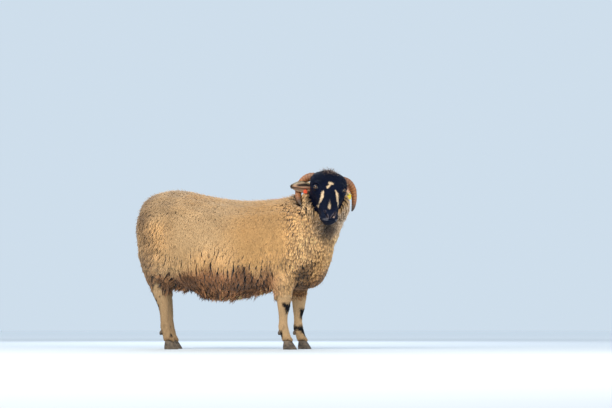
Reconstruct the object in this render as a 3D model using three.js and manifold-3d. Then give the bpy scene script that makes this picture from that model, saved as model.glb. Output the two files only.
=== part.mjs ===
// A still, life-size horned hill ewe in full fleece, standing on level ground with the head turned to the right.
// Units are millimetres. +X runs from tail to chest, +Y to the animal's left and +Z up; the feet stand at z = 0.
// The solids reach out to the tips of the coat. They part where one part of the body ends and the next begins.
import * as THREE from "three";
import { mergeVertices } from "three/addons/utils/BufferGeometryUtils.js";
import Module from "manifold-3d";

const wasm = await Module();
wasm.setup();

// ---- driving dimensions -------------------------------------------------------------------------------------
const BACK_HEIGHT = 618; // top of the fleece at the dip of the back
const WITHERS_HEIGHT = 634; // top of the fleece over the shoulders
const RUMP_HEIGHT = 668; // top of the fleece over the hips
const BELLY_HEIGHT = 208; // underside of the belly wool at its lowest
const BRISKET_HEIGHT = 240; // underside of the fleece between the forelegs
const BODY_REAR = -440; // hindmost point of the rump, without the tail
const BODY_FRONT = 384; // foremost point of the breast
const BODY_HALF_WIDTH = 196; // half the width of the fleece at its widest, over the paunch
const NECK_RADIUS = 104; // half the thickness of the neck's wool behind the jaw

const FORE_X = { left: 219, right: 186 }; // fore cannons, along the body
const HIND_X = { left: -343, right: -317 }; // hind cannons, along the body
const TRACK_HALF = 84; // half the distance between the left and right feet
const KNEE_HEIGHT = 178;
const HOCK_HEIGHT = 232;
const CLAW_LENGTH = 54;
const CLAW_HEIGHT = 36;

const POLL = new THREE.Vector3(372, -58, 714); // top of the head between the horns
const HEAD_HEADING = -78; // degrees about +Z from straight ahead: the face looks out over the right side
const HEAD_PITCH = 40; // degrees nose down
const HEAD_ROLL = -8; // degrees, left ear lower
const HEAD_LENGTH = 244; // poll to nose
const EYE_SPREAD = 53; // eyeball centre to the head's middle
const EYE_RADIUS = 14.5;
const EAR_LENGTH = 92;
const HORN_RADIUS = 17; // at the base
const HORN_SPREAD = { left: 122, right: 114 }; // widest reach of a horn's middle line from the head's middle
const HORN_SWELL = { left: 0, right: 0.35 }; // how much thicker the lower half of a horn is

const GAP = 0.3; // between neighbouring solids

// ---- geometry helpers ---------------------------------------------------------------------------------------
const vec = (x, y, z) => new THREE.Vector3(x, y, z);
const radians = THREE.MathUtils.degToRad;

// One ring of a loft: its centre, its upper and sideways half-axes, how square it is (2 is an ellipse), and how
// much wider the upper side is than the lower (0 is even).
const station = (centre, tall, wide, square = 2, taper = 0) => ({ centre, tall, wide, square, taper });
const pole = (centre) => station(centre, vec(0, 0, 0), vec(0, 0, 0));

// A ring given by a point on its upper outline, a point on its lower outline and its half width.
function outlineStation([topX, topZ], [lowX, lowZ], halfWidth, square = 2, taper = 0) {
  const centre = vec((topX + lowX) / 2, 0, (topZ + lowZ) / 2);
  const tall = vec((topX - lowX) / 2, 0, (topZ - lowZ) / 2);
  return station(centre, tall, vec(0, halfWidth, 0), square, taper);
}

function ringPoint({ centre, tall, wide, square, taper }, angle) {
  const bend = (value) => Math.sign(value) * Math.abs(value) ** (2 / square);
  const up = bend(Math.sin(angle));
  const side = bend(Math.cos(angle)) * (1 + taper * up);
  return centre.clone().addScaledVector(tall, up).addScaledVector(wide, side);
}

// A smooth closed skin through the stations, in even steps, closed by a fan at each end.
function loft(stations, rings, around) {
  const through = (key) => new THREE.CatmullRomCurve3(stations.map((s) => s[key]), false, "catmullrom", 0.5);
  const [centres, talls, wides] = ["centre", "tall", "wide"].map(through);
  const shapes = new THREE.CatmullRomCurve3(stations.map((s) => vec(s.square, s.taper, 0)));
  const positions = [];
  for (let i = 0; i <= rings; i++) {
    const t = i / rings;
    const { x: square, y: taper } = shapes.getPoint(t);
    const ring = station(centres.getPoint(t), talls.getPoint(t), wides.getPoint(t), square, taper);
    for (let j = 0; j < around; j++) positions.push(...ringPoint(ring, (2 * Math.PI * j) / around));
  }
  const index = [];
  for (let i = 0; i < rings; i++) {
    for (let j = 0; j < around; j++) {
      const [a, b] = [i * around + j, i * around + ((j + 1) % around)];
      index.push(a, b, a + around, b, b + around, a + around);
    }
  }
  for (const ring of [0, rings]) {
    const hub = positions.length / 3;
    positions.push(...centres.getPoint(ring / rings));
    for (let j = 0; j < around; j++) {
      const edge = [ring * around + j, ring * around + ((j + 1) % around)];
      index.push(hub, ...(ring === 0 ? edge.reverse() : edge));
    }
  }
  const geometry = new THREE.BufferGeometry();
  geometry.setAttribute("position", new THREE.Float32BufferAttribute(positions, 3));
  geometry.setIndex(index);
  return closed(geometry);
}

function signedVolume(geometry) {
  const corners = [vec(), vec(), vec()];
  let sum = 0;
  for (let i = 0; i < geometry.index.count; i += 3) {
    corners.forEach((p, k) => p.fromBufferAttribute(geometry.attributes.position, geometry.index.getX(i + k)));
    sum += corners[0].dot(corners[1].cross(corners[2])) / 6;
  }
  return sum;
}

// Merges shared vertices, drops collapsed triangles and turns the faces outwards.
function closed(source) {
  const bare = source.clone();
  bare.deleteAttribute("normal");
  bare.deleteAttribute("uv");
  const geometry = mergeVertices(bare, 1e-3);
  const kept = [];
  for (let i = 0; i < geometry.index.count; i += 3) {
    const [a, b, c] = [0, 1, 2].map((k) => geometry.index.getX(i + k));
    if (a !== b && b !== c && c !== a) kept.push(a, b, c);
  }
  geometry.setIndex(kept);
  if (signedVolume(geometry) < 0) geometry.setIndex(kept.reverse());
  return geometry;
}

// The same closed surface moved outwards, so that what it is cut from keeps a gap to it.
function grown(geometry, by = GAP) {
  const copy = geometry.clone();
  copy.computeVertexNormals();
  const { position, normal } = copy.attributes;
  for (let i = 0; i < position.count; i++) {
    const outward = vec().fromBufferAttribute(normal, i);
    position.setXYZ(i, ...vec().fromBufferAttribute(position, i).addScaledVector(outward, by));
  }
  copy.deleteAttribute("normal");
  return copy;
}

function toSolid(geometry) {
  const vertProperties = new Float32Array(geometry.attributes.position.array);
  const triVerts = new Uint32Array(geometry.index.array);
  return new wasm.Manifold(new wasm.Mesh({ numProp: 3, vertProperties, triVerts }));
}

const joined = (geometries) => geometries.map(toSolid).reduce((all, one) => all.add(one));
const room = (geometries) => joined(geometries.map((geometry) => grown(geometry)));

// The largest body of a solid, without the slivers that a cut can leave beside it.
const mainBody = (solid) => solid.decompose().sort((a, b) => b.volume() - a.volume())[0];

function toGeometry(solid) {
  const { vertProperties, triVerts } = solid.getMesh();
  const geometry = new THREE.BufferGeometry();
  geometry.setAttribute("position", new THREE.BufferAttribute(vertProperties, 3));
  geometry.setIndex(new THREE.BufferAttribute(triVerts, 1));
  return geometry;
}

// All that lies beyond a plane, on the side that its normal points to, as one large box.
function beyond({ point, normal }, lift = 0, size = 1400) {
  const box = new THREE.BoxGeometry(size, size, size).translate(0, 0, size / 2 + lift);
  box.applyQuaternion(new THREE.Quaternion().setFromUnitVectors(vec(0, 0, 1), normal.clone().normalize()));
  return toSolid(closed(box.translate(...point)));
}

// ---- materials ----------------------------------------------------------------------------------------------
const finish = (color, roughness) => new THREE.MeshStandardMaterial({ color, roughness, metalness: 0 });
const materials = {
  fleece: finish("#cbb08a", 0.95),
  face: finish("#1c1b22", 0.8),
  leg: finish("#c9ab80", 0.85),
  ear: finish("#8d7462", 0.8),
  horn: finish("#9a6f49", 0.5),
  eye: finish("#2a1c10", 0.1),
  claw: finish("#3a322b", 0.55),
  redTag: finish("#e2571f", 0.4),
  yellowTag: finish("#e6cf1c", 0.4),
};

// A named mesh with flat facets, from a solid or from a closed geometry.
function node(name, shape, material) {
  const geometry = (shape.isBufferGeometry ? shape : toGeometry(shape)).toNonIndexed();
  geometry.computeVertexNormals();
  const mesh = new THREE.Mesh(geometry, materials[material]);
  mesh.name = name;
  return mesh;
}

const SIDES = [
  { side: "left", sign: 1 },
  { side: "right", sign: -1 },
];

// ---- trunk: the barrel of the body in its fleece --------------------------------------------------------------
function trunkGeometry() {
  return loft(
    [
      pole(vec(BODY_REAR, 0, 500)),
      outlineStation([BODY_REAR + 10, 590], [BODY_REAR + 12, 404], 96, 2.2), // buttocks
      outlineStation([-404, RUMP_HEIGHT - 34], [-404, 330], 144, 2.3), // pin bones
      outlineStation([-340, RUMP_HEIGHT - 6], [-346, 270], 168, 2.3),
      outlineStation([-262, RUMP_HEIGHT], [-268, 258], 180, 2.3, -0.04), // hips
      outlineStation([-165, RUMP_HEIGHT - 22], [-172, BELLY_HEIGHT + 12], 188, 2.3, -0.08), // loin
      outlineStation([-70, BACK_HEIGHT + 10], [-80, BELLY_HEIGHT], BODY_HALF_WIDTH, 2.3, -0.1), // paunch
      outlineStation([40, BACK_HEIGHT], [20, BELLY_HEIGHT + 12], BODY_HALF_WIDTH - 4, 2.3, -0.08), // ribs
      outlineStation([140, WITHERS_HEIGHT - 8], [115, BRISKET_HEIGHT], 182, 2.2, -0.04), // girth
      outlineStation([222, WITHERS_HEIGHT], [210, BRISKET_HEIGHT - 2], 170, 2.2), // shoulders
      outlineStation([290, 600], [286, BRISKET_HEIGHT + 4], 148, 2.1),
      outlineStation([346, 530], [330, BRISKET_HEIGHT + 30], 110, 2.1), // breast
      outlineStation([378, 462], [358, 330], 58),
      pole(vec(BODY_FRONT, 0, 404)),
    ],
    24,
    20,
  );
}

// ---- neck: rises from the shoulders to the back of the head -----------------------------------------------------
function neckGeometry() {
  const ring = (x, y, z, back, rise, half) => station(vec(x, y, z), vec(-back, 0, rise), vec(0, half, 0));
  return loft(
    [
      pole(vec(150, 0, 450)),
      ring(196, 0, 452, 110, 96, 122),
      ring(260, 0, 490, 108, 92, 130),
      ring(312, 0, 540, 98, 56, NECK_RADIUS + 16),
      ring(346, -4, 592, NECK_RADIUS, 24, NECK_RADIUS + 4),
      ring(356, -6, 642, NECK_RADIUS - 18, 8, NECK_RADIUS - 10),
      ring(361, -4, 686, 68, 4, 70),
      pole(vec(364, -2, 710)),
    ],
    14,
    18,
  );
}

// ---- tail: a woolly tail hanging against the rump ---------------------------------------------------------------
function tailGeometry() {
  const ring = (x, z, deep, tilt, half) => station(vec(x, 0, z), vec(deep, 0, tilt), vec(0, half, 0));
  return loft(
    [
      pole(vec(-386, 0, 632)),
      ring(-408, 612, 14, 24, 32),
      ring(-427, 566, 25, 12, 38),
      ring(-434, 506, 26, 2, 42),
      ring(-428, 436, 26, -4, 42),
      ring(-414, 380, 20, -4, 34),
      pole(vec(-408, 0, 350)),
    ],
    9,
    10,
  );
}

// ---- legs -----------------------------------------------------------------------------------------------------
// The rings of a leg lie level. Each row is: forward of the cannon, height, half depth, half width, outwards of
// the track.
const FORE_RINGS = [
  [-4, 400, 62, 52, 6],
  [-6, 330, 70, 58, 6],
  [-4, 272, 60, 50, 4],
  [0, 228, 40, 35, 2],
  [3, 206, 33, 30, 0],
  [3, KNEE_HEIGHT + 10, 29, 27, 0],
  [3, KNEE_HEIGHT - 10, 27, 25, 0],
  [0, 142, 20.5, 18.5, 0],
  [0, 112, 19, 18, 0],
  [1, 84, 23.5, 22, 0],
  [10, 58, 21, 20, 0],
  [19, 37, 25, 24, 0],
  [21, 27, 18, 16, 0],
];
const HIND_RINGS = [
  [-20, 500, 84, 66, 0],
  [-22, 400, 88, 74, 4],
  [-22, 328, 68, 64, 4],
  [-25, 280, 47, 42, 2],
  [-21, HOCK_HEIGHT + 16, 38, 31, 0],
  [-16, HOCK_HEIGHT - 14, 32, 27, 0],
  [-6, HOCK_HEIGHT - 46, 25.5, 22, 0],
  [0, 150, 21, 19.5, 0],
  [3, 112, 20, 18.5, 0],
  [6, 84, 23.5, 22, 0],
  [14, 58, 21, 20, 0],
  [22, 37, 25, 24, 0],
  [24, 27, 18, 16, 0],
];

function legGeometry(rings, x, sign) {
  const stations = rings.map(([ahead, z, deep, wide, out]) =>
    station(vec(x + ahead, sign * (TRACK_HALF + out), z), vec(deep, 0, 0), vec(0, wide, 0), 2.1),
  );
  const first = stations[0].centre.clone().add(vec(0, 0, 30));
  const last = stations.at(-1).centre.clone().add(vec(0, 0, -4));
  return loft([pole(first), ...stations, pole(last)], 19, 10);
}

const legs = ["fore", "hind"].flatMap((end) =>
  SIDES.map(({ side, sign }) => {
    const rings = end === "fore" ? FORE_RINGS : HIND_RINGS;
    const x = (end === "fore" ? FORE_X : HIND_X)[side];
    const footX = x + rings.at(-1)[0];
    return { end, side, sign, footX, geometry: legGeometry(rings, x, sign) };
  }),
);

// ---- claws and dewclaws ---------------------------------------------------------------------------------------
// A claw is a wedge with a flat sole, a toe that leans back and a rounded heel. It narrows towards the toe and
// turns in towards its neighbour.
function clawGeometry(inward) {
  const half = CLAW_LENGTH / 2;
  const ring = (z, reach, width, back) => station(vec(back, 0, z), vec(reach, 0, 0), vec(0, width, 0), 2.4);
  const claw = loft(
    [
      ring(0, half, 11.6, 0),
      ring(CLAW_HEIGHT * 0.4, half - 4, 11.8, -4),
      ring(CLAW_HEIGHT * 0.8, half - 10, 10.6, -8),
      ring(CLAW_HEIGHT, half - 14, 8.5, -10),
    ],
    3,
    10,
  );
  const { position } = claw.attributes;
  for (let i = 0; i < position.count; i++) {
    const toe = Math.max(0, position.getX(i) / half) ** 2;
    position.setY(i, position.getY(i) * (1 - 0.5 * toe) + inward * 2.5 * toe);
  }
  return claw;
}

function dewclawGeometry() {
  const ring = (x, z, half) => station(vec(x, 0, z), vec(half, 0, 0), vec(0, half, 0));
  return loft([pole(vec(0, 0, 10)), ring(-1, 3, 6.5), ring(-3, -6, 6), pole(vec(-4, 0, -11))], 4, 6);
}

const PAIR = [
  { part: "outer", apart: 1 },
  { part: "inner", apart: -1 },
];
const claws = legs.flatMap(({ end, side, sign, footX }) =>
  PAIR.map(({ part, apart }) => ({
    name: `claw_${end}_${side}_${part}`,
    geometry: clawGeometry(-apart * sign),
    position: vec(footX + 8, sign * (TRACK_HALF + apart * 13.4), 0),
  })),
);
const dewclaws = legs.flatMap(({ end, side, sign, footX }) =>
  PAIR.map(({ part, apart }) => ({
    name: `dewclaw_${end}_${side}_${part}`,
    geometry: dewclawGeometry(),
    position: vec(footX - 37, sign * (TRACK_HALF + apart * 12), 70),
  })),
);
const inPlace = ({ geometry, position }) => geometry.clone().translate(...position);

// ---- head, in its own frame: +X along the face to the nose, +Y to the left, +Z out of the forehead -------------
// A place or direction given level with the ground (ahead, left, up), turned into the tilted frame of the head.
const fromLevel = (ahead, left, up) => vec(ahead, left, up).applyEuler(new THREE.Euler(0, -radians(HEAD_PITCH), 0));

function skullGeometry() {
  return loft(
    [
      pole(vec(-34, 0, -34)),
      outlineStation([-22, 8], [-30, -70], 54, 2.4, 0.15),
      outlineStation([6, 22], [-6, -98], 71, 2.8, 0.2), // poll
      outlineStation([44, 25], [28, -114], 74, 2.8, 0.28), // temples
      outlineStation([84, 20], [72, -118], 69, 2.5, 0.28), // eyes and cheeks
      outlineStation([122, 8], [112, -110], 54, 2.4, 0.16),
      outlineStation([156, -4], [150, -98], 45, 2.3, 0.06),
      outlineStation([190, -15], [186, -95], 41, 2.4, 0), // bridge of the nose
      outlineStation([220, -25], [213, -95], 41, 2.6, 0), // nostrils and lips
      outlineStation([HEAD_LENGTH - 5, -37], [HEAD_LENGTH - 15, -87], 33, 2.6, 0.08),
      pole(vec(HEAD_LENGTH, 0, -62)),
    ],
    16,
    16,
  );
}

function ballGeometry(centre, radii, across = 12, down = 8) {
  return closed(new THREE.SphereGeometry(1, across, down).scale(...radii).translate(...centre));
}
const browGeometry = (sign) => ballGeometry([77, sign * 49, 3], [25, 17, 17], 8, 6);
const forelockGeometry = () => ballGeometry(fromLevel(2, 0, 4), [28, 42, 20], 10, 6);
const eyeGeometry = (sign) => ballGeometry([94, sign * EYE_SPREAD, -3], Array(3).fill(EYE_RADIUS), 9, 6);

// Horns leave the poll sideways, curl back and down behind the ears and come forward beside the jaw.
function hornGeometry(side, sign) {
  const route = [
    [-6, 0.3, -14],
    [-11, 0.46, -9],
    [-20, 0.64, -10],
    [-30, 0.8, -20],
    [-37, 0.92, -38],
    [-40, 0.98, -60],
    [-35, 1, -85],
    [-20, 0.98, -108],
    [0, 0.94, -124],
    [17, 0.89, -136],
  ].map(([ahead, share, up]) => fromLevel(ahead, sign * share * HORN_SPREAD[side], up));
  const curve = new THREE.CatmullRomCurve3(route);
  const rings = 20;
  const { normals, binormals } = curve.computeFrenetFrames(rings);
  const stations = normals.map((normal, i) => {
    const t = i / rings;
    const ridge = i % 2 ? 1.3 * (1 - t) : 0; // every second ring stands proud, as the yearly growth does
    const radius = Math.max(2.5, HORN_RADIUS * (1 + HORN_SWELL[side] * t) * (1 - t) ** 0.45 + ridge);
    const across = binormals[i].clone().multiplyScalar(radius * 0.88);
    return station(curve.getPointAt(t), normal.clone().multiplyScalar(radius), across);
  });
  return loft(stations, rings, 8);
}

// An ear is a leaf rolled into a cup. Its axis, and the way that the cup opens, are given level with the ground.
function earShape(root, axis, opening) {
  const along = fromLevel(...axis).normalize();
  const open = fromLevel(...opening);
  open.addScaledVector(along, -open.dot(along)).normalize();
  const across = vec().crossVectors(along, open);
  const place = (share, shift) => root.clone().addScaledVector(along, EAR_LENGTH * share).addScaledVector(open, shift);
  const leaf = (thinner, shift) => {
    const rings = [
      [-0.04, 8, 8],
      [0.14, 20, 14],
      [0.32, 24, 14],
      [0.5, 24, 12],
      [0.68, 20, 9.5],
      [0.84, 13, 6.5],
      [0.95, 6, 4],
    ].map(([share, half, deep]) =>
      station(
        place(share, shift),
        open.clone().multiplyScalar(Math.max(1, deep - thinner)),
        across.clone().multiplyScalar(Math.max(1, half - thinner)),
      ),
    );
    return loft([pole(place(-0.08, shift)), ...rings, pole(place(1, shift))], 8, 10);
  };
  return { root, along, open, across, outer: leaf(0, 0), hollow: leaf(3.2, 8) };
}

const ears = {
  right: earShape(vec(33, -63, -40), [-0.16, -1, -0.1], [0.85, 0, -0.35]), // held straight out, the cup forwards
  left: earShape(vec(28, 64, -34), [-0.6, 0.68, 0.04], [0.8, 0.6, 0]), // laid back inside the curl of the horn
};

// A plastic ear tag: a leaf that hangs from the ear's lower edge, with a round stud at its top.
function tagGeometry({ root, along }, reach, drop, width, height, turn) {
  const down = fromLevel(0, 0, -1);
  const front = fromLevel(Math.cos(radians(turn)), Math.sin(radians(turn)), 0);
  const leaf = new THREE.Shape();
  leaf.moveTo(-width * 0.25, -height / 2);
  leaf.lineTo(width * 0.25, -height / 2);
  leaf.lineTo(width / 2, -height * 0.2);
  leaf.absarc(width / 2 - 3, height / 2 - 3, 3, 0, Math.PI / 2);
  leaf.absarc(3 - width / 2, height / 2 - 3, 3, Math.PI / 2, Math.PI);
  leaf.lineTo(-width / 2, -height * 0.2);
  const plate = new THREE.ExtrudeGeometry(leaf, { depth: 2, bevelEnabled: false, curveSegments: 2 });
  const stud = new THREE.CylinderGeometry(4, 4, 5, 8).rotateX(Math.PI / 2).translate(0, -height * 0.36, 1);
  const both = toGeometry(joined([plate, stud].map(closed)));
  const basis = new THREE.Matrix4().makeBasis(vec().crossVectors(down, front), down, front);
  const centre = root.clone().addScaledVector(along, reach).addScaledVector(down, drop);
  return both.applyMatrix4(basis).translate(...centre);
}
const tags = {
  red: tagGeometry(ears.right, 27, 21, 16, 14, -10),
  yellow: tagGeometry(ears.left, 44, 29, 20, 24, 10),
};

// ---- assembly of the head ---------------------------------------------------------------------------------------
const head = new THREE.Group();
head.position.copy(POLL);
head.rotation.set(radians(HEAD_ROLL), radians(HEAD_PITCH), radians(HEAD_HEADING), "ZYX");
head.updateMatrix();

const eyes = SIDES.map(({ side, sign }) => ({ side, geometry: eyeGeometry(sign) }));
const horns = SIDES.map(({ side, sign }) => ({ side, geometry: hornGeometry(side, sign) }));
const skullParts = [
  skullGeometry(),
  forelockGeometry(),
  ...SIDES.map(({ sign }) => browGeometry(sign)),
];
const hornRoom = room(horns.map((horn) => horn.geometry));
const tagRoom = room(Object.values(tags));
const earRoom = room(SIDES.map(({ side }) => ears[side].outer));
const eyeRoom = room(eyes.map((eye) => eye.geometry));

const skull = joined(skullParts);
head.add(node("head", mainBody(skull.subtract(eyeRoom).subtract(hornRoom).subtract(earRoom).subtract(tagRoom)), "face"));
for (const { side, geometry } of eyes) head.add(node(`eye_${side}`, geometry, "eye"));
for (const { side, geometry } of horns) head.add(node(`horn_${side}`, geometry, "horn"));
for (const { side } of SIDES) {
  const shell = toSolid(ears[side].outer).subtract(toSolid(ears[side].hollow));
  head.add(node(`ear_${side}`, mainBody(shell.subtract(hornRoom).subtract(tagRoom)), "ear"));
}
head.add(node("tag_red", tags.red, "redTag"));
head.add(node("tag_yellow", tags.yellow, "yellowTag"));

// ---- assembly of the body ---------------------------------------------------------------------------------------
// The room that the head and all it carries take out of the neck's wool, in the frame of the body.
const headRoom = room(
  [...skullParts, ...[...eyes, ...horns].map((part) => part.geometry), ...SIDES.map(({ side }) => ears[side].outer)]
    .concat(Object.values(tags))
    .map((geometry) => geometry.clone().applyMatrix4(head.matrix)),
);
const tail = tailGeometry();
const flesh = joined([trunkGeometry(), neckGeometry(), ...legs.map((leg) => leg.geometry)])
  .subtract(room([tail]))
  .subtract(room([...claws, ...dewclaws].map(inPlace)));

// The body parts along flat cuts: across the base of the neck, under the elbows and over the hams.
const CUTS = {
  neck: { point: vec(300, 0, 492), normal: vec(0.87, 0, 0.5) },
  fore: { point: vec(200, 0, BRISKET_HEIGHT - 3), normal: vec(0, 0, -1), middle: 220, length: 220 },
  hind: { point: vec(-250, 0, 252), normal: vec(-0.65, 0, -0.76), middle: -380, length: 280 },
};
const halfSpace = ({ middle, length }, side, width) =>
  toSolid(closed(new THREE.BoxGeometry(length, width, 1200).translate(middle, side, 400)));
const limbs = legs.map(({ end, side, sign }) => {
  const strip = halfSpace(CUTS[end], sign * (200 + GAP / 2), 400);
  return { name: `leg_${end}_${side}`, solid: mainBody(flesh.intersect(beyond(CUTS[end])).intersect(strip)) };
});
const trunk = ["fore", "hind"].reduce(
  (rest, end) => rest.subtract(beyond(CUTS[end], -GAP).intersect(halfSpace(CUTS[end], 0, 800))),
  flesh.subtract(beyond(CUTS.neck, -GAP)),
);
const neck = flesh.intersect(beyond(CUTS.neck)).subtract(headRoom);

const body = new THREE.Group();
body.add(node("trunk", mainBody(trunk), "fleece"));
body.add(node("neck", mainBody(neck), "fleece"));
body.add(node("tail", tail, "fleece"));
for (const { name, solid } of limbs) body.add(node(name, solid, "leg"));
for (const { name, geometry, position } of [...claws, ...dewclaws]) {
  const mesh = node(name, geometry, "claw");
  mesh.position.copy(position);
  body.add(mesh);
}
body.add(head);

// The origin lies on the ground under the middle of the whole animal.
const bounds = new THREE.Box3().setFromObject(body, true);
const middle = bounds.getCenter(vec());
body.position.set(-middle.x, -middle.y, -bounds.min.z);

const sheep = new THREE.Group();
sheep.add(body);

export default sheep;
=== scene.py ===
# A still, life-size horned hill ewe in full fleece, standing with its head turned to the right.
# Metres. +X runs from tail to chest, +Y to the animal's left and +Z up; the feet stand at z = 0.
import math

import bmesh
import bpy
import numpy as np
from mathutils import Euler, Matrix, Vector
from mathutils.bvhtree import BVHTree
from mathutils.kdtree import KDTree


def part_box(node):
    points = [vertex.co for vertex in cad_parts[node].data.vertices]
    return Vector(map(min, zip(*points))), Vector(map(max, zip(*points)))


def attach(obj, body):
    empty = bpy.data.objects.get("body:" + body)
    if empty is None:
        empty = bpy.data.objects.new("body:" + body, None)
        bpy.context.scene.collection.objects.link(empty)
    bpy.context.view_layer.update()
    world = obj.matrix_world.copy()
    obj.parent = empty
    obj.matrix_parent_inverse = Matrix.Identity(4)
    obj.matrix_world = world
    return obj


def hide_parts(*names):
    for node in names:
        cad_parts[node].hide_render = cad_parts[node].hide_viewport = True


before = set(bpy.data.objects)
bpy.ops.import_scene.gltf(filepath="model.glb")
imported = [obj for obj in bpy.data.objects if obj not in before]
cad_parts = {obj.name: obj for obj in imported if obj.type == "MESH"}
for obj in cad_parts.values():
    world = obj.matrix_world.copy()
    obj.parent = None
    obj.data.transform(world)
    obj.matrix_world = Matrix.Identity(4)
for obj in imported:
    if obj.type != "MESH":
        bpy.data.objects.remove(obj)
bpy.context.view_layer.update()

MM = 0.001
# The CAD's middle was moved over the origin; every measured place below is given before that move. A right
# fore claw's middle lay this far ahead then, and the claws stood evenly on both sides.
CLAW_AHEAD = 215 * MM
(right_rear, right_front), (_, left_front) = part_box("claw_fore_right_outer"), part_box("claw_fore_left_outer")
SHIFT = Vector(((right_rear[0] + right_front[0]) / 2 - CLAW_AHEAD, (right_rear[1] + left_front[1]) / 2, 0))


# ---- floor, light and camera -----------------------------------------------------------------------------
# A pale matt studio floor under the feet, a large soft box above and in front, weaker ones at the sides,
# and a long lens that stands low beside the animal's right side.

def linear(hex_colour, alpha=1.0):
    """An sRGB hex colour as linear values."""
    channels = [int(hex_colour[i:i + 2], 16) / 255 for i in (1, 3, 5)]
    return (*[c / 12.92 if c <= 0.04045 else ((c + 0.055) / 1.055) ** 2.4 for c in channels], alpha)


def feed(material, node, inputs):
    """Sets a node's inputs; each is a constant, or another node's output to link from."""
    for name, value in inputs.items():
        if isinstance(value, bpy.types.NodeSocket):
            material.node_tree.links.new(value, node.inputs[name])
        else:
            node.inputs[name].default_value = value


def add(material, kind, inputs, stops=(), **settings):
    """A new node with its settings, its inputs and, on a ramp, the places and colours of its stops."""
    made = material.node_tree.nodes.new("ShaderNode" + kind)
    for name, value in settings.items():
        setattr(made, name, value)
    feed(material, made, inputs)
    for number, (where, colour) in enumerate(stops):
        stop = made.color_ramp.elements[number] if number < 2 else made.color_ramp.elements.new(where)
        stop.position, stop.color = where, linear(colour)
    return made


def finish(name):
    """An empty node material and its Principled shader."""
    material = bpy.data.materials.new(name)
    material.use_nodes = True
    return material, material.node_tree.nodes["Principled BSDF"]


def mesh_of(made, name):
    """The mesh of a finished bmesh."""
    mesh = bpy.data.meshes.new(name)
    made.to_mesh(mesh)
    made.free()
    return mesh


def place(name, mesh, material):
    """A piece of the scene from a finished mesh."""
    piece = bpy.data.objects.new(name, mesh)
    bpy.context.scene.collection.objects.link(piece)
    mesh.materials.append(material)
    return piece


# Matt paper: hardly any gloss, a little paler far off, so that it runs into the background.
FLOOR_HALF = 100
paper, shader = finish("pale_matt_paper")
spot = add(paper, "TexCoord", {}).outputs["Object"]
far_off = add(paper, "VectorMath", {0: spot}, operation="LENGTH")
far_share = add(paper, "MapRange", {"Value": far_off.outputs["Value"], "From Min": 1.0, "From Max": 9.0})
paper_ramp = add(paper, "ValToRGB", {"Fac": far_share.outputs["Result"]}, [(0.0, "#c3cbd2"), (1.0, "#f7f9fb")])
feed(paper, shader, {"Base Color": paper_ramp.outputs["Color"], "Roughness": 0.9})
sheet = bmesh.new()
bmesh.ops.create_grid(sheet, x_segments=2, y_segments=2, size=FLOOR_HALF)
place("floor", mesh_of(sheet, "floor"), paper)

world = bpy.data.worlds.new("studio")
bpy.context.scene.world = world
world.use_nodes = True
feed(world, world.node_tree.nodes["Background"], {"Color": linear("#d3e3f1"), "Strength": 0.95})

LAMPS_AIM = Vector((0, 0, 0.35))
SOFT_BOXES = [  # place, size, power, colour
    ((-1.6, -3.4, 3.4), 2.6, 200, "#fff1dd"),
    ((2.6, -2.6, 1.9), 2.0, 74, "#fff4e4"),
    ((-0.8, 3.2, 2.6), 2.4, 70, "#eef4ff"),
]
for number, (where, size, power, colour) in enumerate(SOFT_BOXES):
    lamp = bpy.data.lights.new(f"soft_box_{number}", "AREA")
    lamp.size, lamp.energy, lamp.color = size, power, linear(colour)[:3]
    box = bpy.data.objects.new(lamp.name, lamp)
    box.location = where
    box.rotation_euler = (LAMPS_AIM - Vector(where)).to_track_quat("-Z", "Y").to_euler()
    bpy.context.scene.collection.objects.link(box)

bpy.context.scene.view_settings.view_transform = "Standard"

# The lens sees the sheep from 12 degrees ahead of square to its side, 80 mm above the ground, and looks up.
SENSOR_WIDTH = 36
FOCAL_WIDTHS = 1445 / 612  # focal length, in widths of the sensor
SEEN_FROM = math.radians(12)
DISTANCE = 6070 * MM
EYE_LEVEL = 80 * MM
TILT_UP = math.radians(4.98)
TURN_RIGHT = math.radians(2.487)
heading = Vector((-math.sin(SEEN_FROM), math.cos(SEEN_FROM), 0))
camera = bpy.data.objects.new("camera", bpy.data.cameras.new("camera"))
camera.data.sensor_width = SENSOR_WIDTH
camera.data.lens = SENSOR_WIDTH * FOCAL_WIDTHS
camera.data.clip_end = FLOOR_HALF
camera.location = SHIFT - heading * DISTANCE + Vector((0, 0, EYE_LEVEL))
camera.rotation_euler = Euler((math.radians(90) + TILT_UP, 0, SEEN_FROM - TURN_RIGHT))
bpy.context.scene.collection.objects.link(camera)
bpy.context.scene.camera = camera


# ---- skin ------------------------------------------------------------------------------------------------
# One skin from nose to tail, under the coat: black hide on the head, cream on the legs, pink in the ears.
# It is taken in from the outline by the depth of the coat, then the face is worked over in finer faces.

HEAD_TURN = Euler([math.radians(a) for a in (-8, 40, -78)], "XYZ").to_matrix()
POLL = Vector((372, -58, 714)) * MM + SHIFT  # top of the head between the horns
TURN = np.array(HEAD_TURN)
LEVEL = np.array(Euler((0, math.radians(-40), 0)).to_matrix())  # from level with the ground to along the face


def to_face(points):
    """Places in millimetres in the head's frame: x down the face to the nose, y to its left, z out of it."""
    return (np.asarray(points) - np.array(POLL)) @ TURN / MM


def from_face(places):
    return np.asarray(places) * MM @ TURN.T + np.array(POLL)


def from_level(ahead, left, up):
    """A place by the head given level with the ground, in the frame of the face."""
    return LEVEL @ np.array([ahead, left, up], float)


def in_body(points):
    """Places in millimetres before the middle was moved over the origin."""
    return (np.asarray(points) - np.array(SHIFT)) / MM


def ease(low, high, value):
    """0 below low, 1 above high, and a smooth step between."""
    share = np.clip((value - low) / (high - low), 0, 1)
    return share * share * (3 - 2 * share)


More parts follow.
